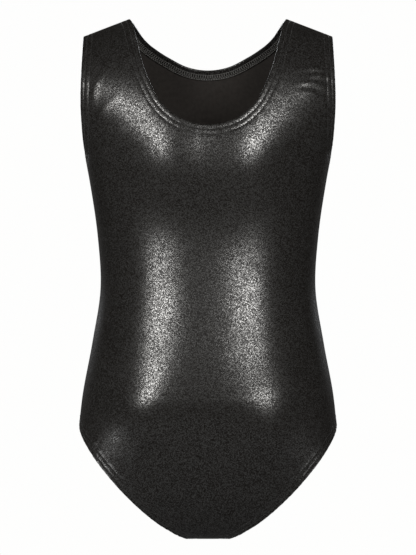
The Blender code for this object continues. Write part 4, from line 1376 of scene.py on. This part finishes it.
class LeotardSewing(bpy.types.PropertyGroup):
    """Sizes and colours of the threads, elastics, seams and label."""

    stitch_pitch: length_property("Stitch pitch", "Distance between needle stitches", 0.0026)
    stitch_length: length_property("Stitch length", "Length of a needle stitch", 0.0021)
    thread_width: length_property("Thread width", "Width of the needle thread", 0.00045)
    looper_width: length_property("Looper width", "Width of the looper thread", 0.0004)
    overlock_pitch: length_property("Overlock pitch", "Distance between overlock loops", 0.0019)
    # Painted shade in the threads' twist, and painted light on their plies
    thread_painted_shade: colour_property("Thread, shaded", "Needle thread in its twist",
                                (0.010, 0.010, 0.010))
    thread_painted_light: colour_property("Thread, lit", "Needle thread on its plies", (0.050, 0.049, 0.047))
    looper_painted_shade: colour_property("Looper, shaded", "Looper thread in its twist",
                                (0.10, 0.098, 0.095))
    looper_painted_light: colour_property("Looper, lit", "Looper thread on its plies", (0.34, 0.335, 0.32))
    # Painted shade between the label's yarns, and painted light on them
    label_painted_shade: colour_property("Label, shaded", "Between the label's yarns", (0.60, 0.60, 0.58))
    label_painted_light: colour_property("Label, lit", "On the label's yarns", (0.84, 0.84, 0.82))
    label_curl: length_property("Label curl", "How far the label's free edge curls", 0.0022)


class LeotardStage(bpy.types.PropertyGroup):
    """Camera and light round the garment."""

    lens: bpy.props.FloatProperty(name="Lens", description="Focal length in millimetres",
                                  default=250.0, min=20.0, max=400.0)
    view_height: length_property("View height", "Height of the view at the garment", 0.587)
    floor_drop: length_property("Floor drop", "How far the floor is below the garment", 0.42)
    box_power: bpy.props.FloatProperty(name="Soft box power", description="Of each soft box",
                                       default=12.5, min=0.0, unit="POWER")
    left_turn: angle_property("Left box turn", "To the left of the camera", 28)
    right_turn: angle_property("Right box turn", "To the right of the camera", 21)
    box_rise: angle_property("Soft box rise", "Above the garment's middle", 15)
    room_light: share_property("Room light", "Brightness of the dim room round the soft boxes",
                               0.042)
    background: colour_property("Background", "Pale paper behind the garment", (0.99, 0.99, 0.985))
    floor_colour: colour_property("Floor", "Pale floor", (0.945, 0.945, 0.94))


# Pieces ------------------------------------------------------------------------------------------

# Colours of the pieces that hardly show: painted shade, then painted light
ELASTIC_PAINTED_SHADE_AND_LIGHT = (0.012, 0.012, 0.012), (0.06, 0.06, 0.058)
LINING_PAINTED_SHADE_AND_LIGHT = (0.012, 0.012, 0.012), (0.045, 0.045, 0.044)


def finish_piece(made, nodes, body="garment"):
    """Gives a finished piece its body, and hides the frame's nodes that it stands for."""
    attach(made, body)
    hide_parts(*nodes)
    return made


def thicken(made, thickness, inner_material=0):
    """Gives a sheet its cloth's thickness, inwards from its outer face."""
    thick = made.modifiers.new("cloth", "SOLIDIFY")
    thick.thickness = thickness
    thick.offset = -1.0
    thick.material_offset = inner_material
    return made


class LEOTARD_OT_panels(bpy.types.Operator):
    """Cuts, shapes and hems the front and back panels"""

    bl_idname = "leotard.panels"
    bl_label = "Panels"

    def execute(self, context):
        look = context.scene.leotard_cloth
        foil = foil_material(look)
        inside_cloth = cloth_material("fabric_inside", look.inside_painted_shade, look.inside_painted_light,
                                      look.loop_size, look.inside_roughness)
        for side in SIGN:
            cloth = Cloth(side)
            cloth.interior(look.mesh_spacing / MM)
            for opening in OPENING_LINES:
                cloth.hem(opening)
            points, flats, faces = cloth.whole()
            made = clean_mesh(f"{side}_panel_cloth", points, faces, flats)
            look_outwards(made, place((0, 0, (HIP_HEIGHT + UNDERARM_HEIGHT) / 2)))
            made.data.materials.append(foil)
            made.data.materials.append(inside_cloth)
            thicken(made, look.thickness, inner_material=1)
            finish_piece(made, [f"{side}_panel"])
        return {"FINISHED"}


class LEOTARD_OT_elastics(bpy.types.Operator):
    """Lays a knitted elastic in every hem"""

    bl_idname = "leotard.elastics"
    bl_label = "Elastics"

    def execute(self, context):
        finish = elastic_material(*ELASTIC_PAINTED_SHADE_AND_LIGHT)
        section = rounded_band(*ELASTIC_SPAN, *ELASTIC_LEVELS)
        for name, opening, flip in OPENINGS:
            lines = [around(opening, into, 0.0, flip) for into, _ in section]
            rings = [points + normals * out for (points, normals), (_, out) in zip(lines, section)]
            made = ring_mesh(f"{name}_elastic_band", rings)
            made.data.materials.append(finish)
            finish_piece(made, [f"{name}_elastic"])
        return {"FINISHED"}


class LEOTARD_OT_needle_stitches(bpy.types.Operator):
    """Sews the two needle rows round every opening"""

    bl_idname = "leotard.needle_stitches"
    bl_label = "Needle stitches"

    def execute(self, context):
        sewing = context.scene.leotard_sewing
        finish = thread_material("needle_thread", sewing.thread_painted_shade, sewing.thread_painted_light,
                                 roughness=0.55)
        for seed, (name, opening, flip) in enumerate(OPENINGS):
            for row, into in zip(("edge", "inner"), NEEDLE_ROWS):
                line, normals = around(opening, into, sewing.thread_width / MM * THREAD_LIFT, flip)
                made = along_paths(f"{name}_{row}_needle_stitches", "needle_stitches",
                                   [(line, normals, True)],
                                   {"Pitch": sewing.stitch_pitch,
                                    "Thread width": sewing.thread_width,
                                    "Stitch length": sewing.stitch_length, "Seed": seed,
                                    "Bow": sewing.thread_width * THREAD_BOW, "Thread": finish})
                finish_piece(made, [f"{name}_{row}_needle_thread"])
        return {"FINISHED"}


class LEOTARD_OT_looper_threads(bpy.types.Operator):
    """Covers every turned raw edge with the looper thread's net"""

    bl_idname = "leotard.looper_threads"
    bl_label = "Looper threads"

    def execute(self, context):
        sewing = context.scene.leotard_sewing
        finish = thread_material("looper_thread", sewing.looper_painted_shade, sewing.looper_painted_light,
                                 roughness=0.6)
        middle = sum(NEEDLE_ROWS) / 2
        half_span = (NEEDLE_ROWS[1] - NEEDLE_ROWS[0]) / 2 * MM
        for seed, (name, opening, flip) in enumerate(OPENINGS):
            line, normals = around(opening, middle, -HEM_DEPTH - LOOPER_RISE, flip)
            made = along_paths(f"{name}_looper_net", "looper_net", [(line, -normals, True)],
                               {"Pitch": sewing.stitch_pitch, "Thread width": sewing.looper_width,
                                "Half span": half_span, "Rise": LOOPER_BOW * MM, "Seed": seed,
                                "Thread": finish})
            finish_piece(made, [f"{name}_looper_thread"])
        return {"FINISHED"}


def seam_allowance(name, centres, inwards, widths):
    """A seam's flattened allowance: two cloth edges laid together, soft at the raw edge."""
    sections = []
    for centre, inward, across in zip(centres, inwards, widths):
        length = np.linalg.norm(inward)
        side = inward / length
        section = [centre + side * length * share + across * turn * full * (SEAM_THICKNESS / 2)
                   for turn, profile in ((1, ALLOWANCE_PROFILE), (-1, ALLOWANCE_PROFILE[::-1]))
                   for share, full in profile]
        sections.append(np.array(section))
    return strip_mesh(name, sections)


def side_seam_frames(flip):
    """Starts and inward runs of a side seam's allowance, from the armhole hem to the leg hem."""
    top = UNDERARM_HEIGHT - HEM - SEAM_END_CLEARANCE
    bottom = LEG_SIDE_HEIGHT + HEM + SEAM_END_CLEARANCE
    heights = np.linspace(top, bottom, SIDE_SEAM_STATIONS)
    widths = half_width("front", heights) - SEAM_INSIDE
    lean = SIDE_SEAM_LEAN * np.sin(heights / SIDE_SEAM_WAVE)
    level = np.zeros(len(heights))
    starts = np.stack([widths * flip, level, heights], -1)
    runs = np.stack([np.full(len(heights), -SEAM_ALLOWANCE * flip), lean, level], -1)
    return starts, runs


def shoulder_seam_frames(flip):
    """The same for a shoulder seam, from the neck hem to the armhole hem."""
    clear = HEM + SEAM_END_CLEARANCE
    across = np.linspace(NECK_HALF_WIDTH + clear, SHOULDER_HALF_WIDTH - clear,
                         SHOULDER_SEAM_STATIONS)
    lean = SHOULDER_SEAM_LEAN * np.sin(across / SHOULDER_SEAM_WAVE)
    level = np.zeros(len(across))
    starts = np.stack([across * flip, level, shoulder_line(across) - SEAM_INSIDE], -1)
    runs = np.stack([level, lean, np.full(len(across), -SEAM_ALLOWANCE)], -1)
    return starts, runs


class LEOTARD_OT_seams(bpy.types.Operator):
    """Overlocks the side, shoulder and crotch seams on the inside"""

    bl_idname = "leotard.seams"
    bl_label = "Overlocked seams"

    def execute(self, context):
        look, sewing = context.scene.leotard_cloth, context.scene.leotard_sewing
        edges = cloth_material("seam_allowance", look.inside_painted_shade, look.inside_painted_light,
                               look.loop_size, roughness=0.85)
        thread = thread_material("overlock_thread", sewing.looper_painted_shade, sewing.looper_painted_light,
                                 roughness=0.65)
        seams = [("left_side_seam", side_seam_frames(1.0)),
                 ("right_side_seam", side_seam_frames(-1.0)),
                 ("left_shoulder_seam", shoulder_seam_frames(1.0)),
                 ("right_shoulder_seam", shoulder_seam_frames(-1.0))]
        for seed, (name, (starts, runs)) in enumerate(seams):
            across = unit(np.cross(np.gradient(starts, axis=0), runs))
            strip = seam_allowance(f"{name}_allowance", starts, runs, across)
            self.sew(strip, name, starts + runs * OVERLOCK_MIDDLE, runs,
                     edges, thread, sewing, seed)
        self.crotch(edges, thread, sewing)
        return {"FINISHED"}

    def sew(self, strip, name, line, runs, edges, thread, sewing, seed):
        """Finishes a seam: its allowance, and the overlock loops round the raw edge."""
        cut_map(strip)
        strip.data.materials.append(edges)
        loops = along_paths(f"{name}_overlock", "overlock_loops", [(line, unit(runs), False)],
                            {"Pitch": sewing.overlock_pitch, "Thread width": sewing.looper_width,
                             "Span": (SEAM_ALLOWANCE - OVERLOCK_SHORT) * MM, "Seed": seed,
                             "Wrap thickness": (SEAM_THICKNESS + OVERLOCK_LOOSE) * MM,
                             "Thread": thread})
        for made in (strip, loops):
            finish_piece(made, [name])

    def crotch(self, edges, thread, sewing):
        """The crotch seam's allowance lies flat under the cloth, with loops across it."""
        limits = [hem_limit(side, 0.0) - LINING_EDGE_CLEARANCE for side in SIGN]
        across = np.linspace(-1, 1, CROTCH_SEAM_STATIONS) * min(LINING_HALF_WIDTH, *limits)
        lines = [across_crotch(across, signed) for signed
                 in np.linspace(-CROTCH_SEAM_HALF, CROTCH_SEAM_HALF, CROTCH_SEAM_ROWS)]
        on_seam = CROTCH_SEAM_ROWS // 2
        if abs(lines[on_seam][0][:, 1]).max() > 1.0:
            raise RuntimeError("the crotch seam's allowance isn't on its seam")
        upper = [p - n * (SEAM_INSIDE + CROTCH_SEAM_UNDER) for p, n in lines]
        lower = [p - n * (SEAM_INSIDE + SEAM_THICKNESS) for p, n in lines]
        sections = [np.array([row[k] for row in upper] + [row[k] for row in lower[::-1]])
                    for k in range(len(across))]
        strip = strip_mesh("crotch_seam_allowance", sections)
        middle = (upper[on_seam] + lower[on_seam]) / 2
        runs = np.tile((0.0, 1.0, 0.0), (len(across), 1))
        self.sew(strip, "crotch_seam", middle, runs, edges, thread, sewing, 9)


def across_crotch(across, signed):
    """Points and normals straight across the crotch, before its seam or, above 0, behind it."""
    side = "front" if signed < 0 else "back"
    places = np.stack([np.abs(across), np.full(len(across), abs(signed))], -1)
    flip = np.where(across < 0, -1.0, 1.0)[:, None] * (1, 0, 0) + (0, 1, 1)
    return PANELS[side].body(places) * flip, PANELS[side].slopes(places)[2] * flip


def cut_map(made):
    """A UV map in metres for a small piece, so that its knit follows Object coordinates."""
    mesh = made.data
    layer = mesh.uv_layers.new(name="cut")
    co = np.zeros(len(mesh.vertices) * 3)
    mesh.vertices.foreach_get("co", co)
    co = co.reshape(-1, 3)
    loops = np.zeros(len(mesh.loops), int)
    mesh.loops.foreach_get("vertex_index", loops)
    layer.data.foreach_set("uv", (co[loops][:, [0, 2]] + co[loops][:, [1, 1]]).ravel())


def hem_limit(side, along):
    """Half the crotch's width between its leg hems, at a distance from the seam."""
    edge = EDGES[side]["leg"]
    inner = (edge.places + edge.steps * HEM)[::-1]
    return float(np.interp(along, inner[:, 1], inner[:, 0]))


class LEOTARD_OT_crotch_lining(bpy.types.Operator):
    """Lays the jersey lining over the crotch seam"""

    bl_idname = "leotard.crotch_lining"
    bl_label = "Crotch lining"

    def execute(self, context):
        look = context.scene.leotard_cloth
        shares = np.linspace(-1, 1, LINING_COLUMNS)
        rows, flats = [], []
        reach = {side: float(PANELS[side].along(LINING_REACH[side])) for side in SIGN}
        for signed in np.arange(-reach["front"], reach["back"] + LINING_SPACING / 2,
                                LINING_SPACING):
            limit = hem_limit("front" if signed < 0 else "back", abs(signed))
            half = min(LINING_HALF_WIDTH, limit - LINING_EDGE_CLEARANCE)
            points, normals = across_crotch(shares * half, signed)
            over_seam = LINING_OVER_SEAM * math.exp(-(signed / LINING_SEAM_REACH) ** 2)
            ripple = (LINING_RIPPLE * np.sin(signed / LINING_RIPPLE_LENGTH + 3 * shares)
                      * (1 - shares ** 2))
            rows.append(points - normals * (LINING_UNDER_CLOTH + over_seam + ripple)[:, None])
            flats.append(np.stack([shares * half, np.full(len(shares), signed)], -1))
        faces = grid_faces(len(rows), len(shares))
        flats = np.vstack(flats)
        made = clean_mesh("crotch_lining_cloth", np.vstack(rows), faces, flats)
        look_outwards(made, place((0, 0, HIP_HEIGHT)))
        made.data.materials.append(cloth_material("lining_jersey", *LINING_PAINTED_SHADE_AND_LIGHT,
                                                  look.loop_size, roughness=0.95))
        thicken(made, LINING_THICKNESS * MM)
        finish_piece(made, ["crotch_lining"])
        return {"FINISHED"}


class LEOTARD_OT_care_label(bpy.types.Operator):
    """Hangs the blank care label from the left side seam"""

    bl_idname = "leotard.care_label"
    bl_label = "Care label"

    def execute(self, context):
        sewing = context.scene.leotard_sewing
        low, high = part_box("care_label")
        hinge = Vector(next(j for j in frame["joints"] if j["name"] == "label_flap")["pos_m"])
        far = Vector((low.x if abs(low.x - hinge.x) > abs(high.x - hinge.x) else high.x,
                      low.y if abs(low.y - hinge.y) > abs(high.y - hinge.y) else high.y, hinge.z))
        along = far - hinge
        length, height = along.length, high.z - low.z
        along.normalize()
        side = Vector((-along.y, along.x, 0.0))
        points, flats = [], []
        for j in range(LABEL_ROWS):
            up = j / (LABEL_ROWS - 1) - 0.5
            for k in range(LABEL_COLUMNS):
                share = k / (LABEL_COLUMNS - 1)
                bend = share ** 2.2 * (0.8 + 0.5 * up)
                curl = sewing.label_curl * (bend + 0.06 * math.sin(7 * share))
                reach = share * length * LABEL_SHOWING
                spot = hinge + along * reach + side * curl + Vector((0, 0, up * height))
                points.append(tuple((np.array(spot) / MM) + (0.0, 0.0, ORIGIN_HEIGHT)))
                flats.append((share * length / MM, up * height / MM))
        faces = grid_faces(LABEL_ROWS, LABEL_COLUMNS)
        made = clean_mesh("care_label_satin", points, faces, np.array(flats))
        made.data.materials.append(satin_material(sewing.label_painted_shade, sewing.label_painted_light))
        thicken(made, LABEL_THICKNESS * MM)
        finish_piece(made, ["care_label"], body="label")
        return {"FINISHED"}


# The stage's lights. Turns are to the right of the camera, rises are above the garment's middle.
SOFT_BOX = {"distance": 2.2, "size": (0.68, 0.6)}
LOW_BOX = {"distance": 0.95, "size": (0.35, 0.35)}
WARM_LIGHT = (1.0, 0.99, 0.97)
COOL_LIGHT = (0.93, 0.96, 1.0)
WHITE_LIGHT = (1.0, 1.0, 1.0)
BACK_BOX_TURN, BACK_BOX_SHARE = math.radians(150), 0.7
LOW_BOX_RISE = math.radians(-38)
LOW_BOXES = (("left_low_box", math.radians(-80), 0.09), ("right_low_box", math.radians(82), 0.04))
ROOM_COLOUR = (1.0, 0.93, 0.85)
FLOOR_RADIUS = 1.5
FLOOR_TONES = (0.20, 0.22)  # the floor is darker to the garment than to the camera
VIEW_RISE = 0.002


def soft_box(name, turn, rise, distance, size, power, colour, target):
    """A rectangular soft box aimed at the garment."""
    light = bpy.data.lights.new(name, "AREA")
    light.shape = "RECTANGLE"
    light.size, light.size_y = size
    light.energy = power
    light.color = colour
    made = bpy.data.objects.new(name, light)
    away = Vector((math.sin(turn) * math.cos(rise), -math.cos(turn) * math.cos(rise),
                   math.sin(rise)))
    made.location = target + away * distance
    made.rotation_euler = away.to_track_quat("Z", "Y").to_euler()
    made.visible_camera = False
    bpy.context.scene.collection.objects.link(made)
    return made


class LEOTARD_OT_stage(bpy.types.Operator):
    """Sets the pale floor, the soft light and the camera"""

    bl_idname = "leotard.stage"
    bl_label = "Stage"

    def execute(self, context):
        stage = context.scene.leotard_stage
        low, high = (Vector(corner) for corner in CAD_BOX)
        middle = (low + high) / 2
        self.floor(stage, low.z - stage.floor_drop)
        self.world(context, stage)
        for name, flip, turn in (("left_soft_box", -1, stage.left_turn),
                                 ("right_soft_box", 1, stage.right_turn)):
            soft_box(name, turn * flip, stage.box_rise, power=stage.box_power,
                     colour=WARM_LIGHT, target=middle, **SOFT_BOX)
            soft_box(name.replace("soft", "back"), BACK_BOX_TURN * flip, stage.box_rise,
                     power=stage.box_power * BACK_BOX_SHARE, colour=COOL_LIGHT, target=middle,
                     **SOFT_BOX)
        for name, turn, share in LOW_BOXES:
            soft_box(name, turn, LOW_BOX_RISE, power=stage.box_power * share,
                     colour=WHITE_LIGHT, target=middle, **LOW_BOX)
        self.camera(context, stage, Vector((0.0, 0.0, middle.z + VIEW_RISE)))
        return {"FINISHED"}

    def floor(self, stage, height):
        """A pale disc. Only the camera sees it glow, so it throws no light on the garment."""
        bpy.ops.mesh.primitive_circle_add(vertices=96, radius=FLOOR_RADIUS, fill_type="TRIFAN")
        made = bpy.context.object
        made.name = "pale_floor"
        for vertex in made.data.vertices:
            vertex.co.z = height
        finish, tree, shader = new_material("pale_floor", {"Roughness": 0.9})
        tone = clouded(tree, 1.0, patch_size=0.6, strength=0.03)
        colour = tuple(stage.floor_colour)
        low, high = ([c * share for c in colour] for share in FLOOR_TONES)
        tree.links.new(shaded(tree, low, high, tone), shader["Base Color"])
        seen = tree.nodes.new("ShaderNodeLightPath").outputs["Is Camera Ray"]
        shader["Emission Color"].default_value = (*colour, 1.0)
        tree.links.new(seen, shader["Emission Strength"])
        made.data.materials.append(finish)

    def world(self, context, stage):
        """A dim room round the soft boxes, and pale paper behind the garment for the camera."""
        made = bpy.data.worlds.new("studio")
        context.scene.world = made
        made.use_nodes = True
        tree = made.node_tree
        tree.nodes.clear()
        room = add_node(tree, "ShaderNodeBackground", {"Color": (*ROOM_COLOUR, 1.0),
                                                       "Strength": stage.room_light})
        paper = add_node(tree, "ShaderNodeBackground", {"Color": (*stage.background, 1.0),
                                                        "Strength": 1.0})
        seen = tree.nodes.new("ShaderNodeLightPath").outputs["Is Camera Ray"]
        both = add_node(tree, "ShaderNodeMixShader",
                        {0: seen, 1: room.outputs[0], 2: paper.outputs[0]})
        end = tree.nodes.new("ShaderNodeOutputWorld")
        tree.links.new(both.outputs[0], end.inputs["Surface"])

    def camera(self, context, stage, target):
        data = bpy.data.cameras.new("camera")
        data.lens = stage.lens
        data.dof.use_dof = False
        distance = stage.view_height * stage.lens / data.sensor_width
        made = bpy.data.objects.new("camera", data)
        made.location = target + Vector((0.0, -distance, 0.0))
        made.rotation_euler = (math.pi / 2, 0.0, 0.0)
        context.scene.collection.objects.link(made)
        context.scene.camera = made
        context.scene.view_settings.view_transform = "Standard"


OPERATORS = (LEOTARD_OT_panels, LEOTARD_OT_elastics, LEOTARD_OT_needle_stitches,
             LEOTARD_OT_looper_threads, LEOTARD_OT_seams, LEOTARD_OT_crotch_lining,
             LEOTARD_OT_care_label, LEOTARD_OT_stage)
SETTINGS = {"leotard_cloth": LeotardCloth, "leotard_sewing": LeotardSewing,
            "leotard_stage": LeotardStage}


class LEOTARD_PT_panel(bpy.types.Panel):
    """The garment's settings and the operators that build it"""

    bl_idname = "LEOTARD_PT_panel"
    bl_label = "Gymnastics Leotard"
    bl_space_type = "VIEW_3D"
    bl_region_type = "UI"
    bl_category = "Leotard"

    def draw(self, context):
        for name, group in SETTINGS.items():
            box = self.layout.box()
            for field in group.__annotations__:
                box.prop(getattr(context.scene, name), field)
        for operator in OPERATORS:
            self.layout.operator(operator.bl_idname)


def register():
    for group in (*SETTINGS.values(), *OPERATORS, LEOTARD_PT_panel):
        bpy.utils.register_class(group)
    for name, group in SETTINGS.items():
        setattr(bpy.types.Scene, name, bpy.props.PointerProperty(type=group))


def unregister():
    for name in SETTINGS:
        delattr(bpy.types.Scene, name)
    for group in (LEOTARD_PT_panel, *reversed(OPERATORS), *reversed(SETTINGS.values())):
        bpy.utils.unregister_class(group)


def main():
    """Builds every piece and the stage."""
    register()
    bpy.ops.leotard.panels()
    bpy.ops.leotard.elastics()
    bpy.ops.leotard.needle_stitches()
    bpy.ops.leotard.looper_threads()
    bpy.ops.leotard.seams()
    bpy.ops.leotard.crotch_lining()
    bpy.ops.leotard.care_label()
    bpy.ops.leotard.stage()


if __name__ == "__main__":
    main()
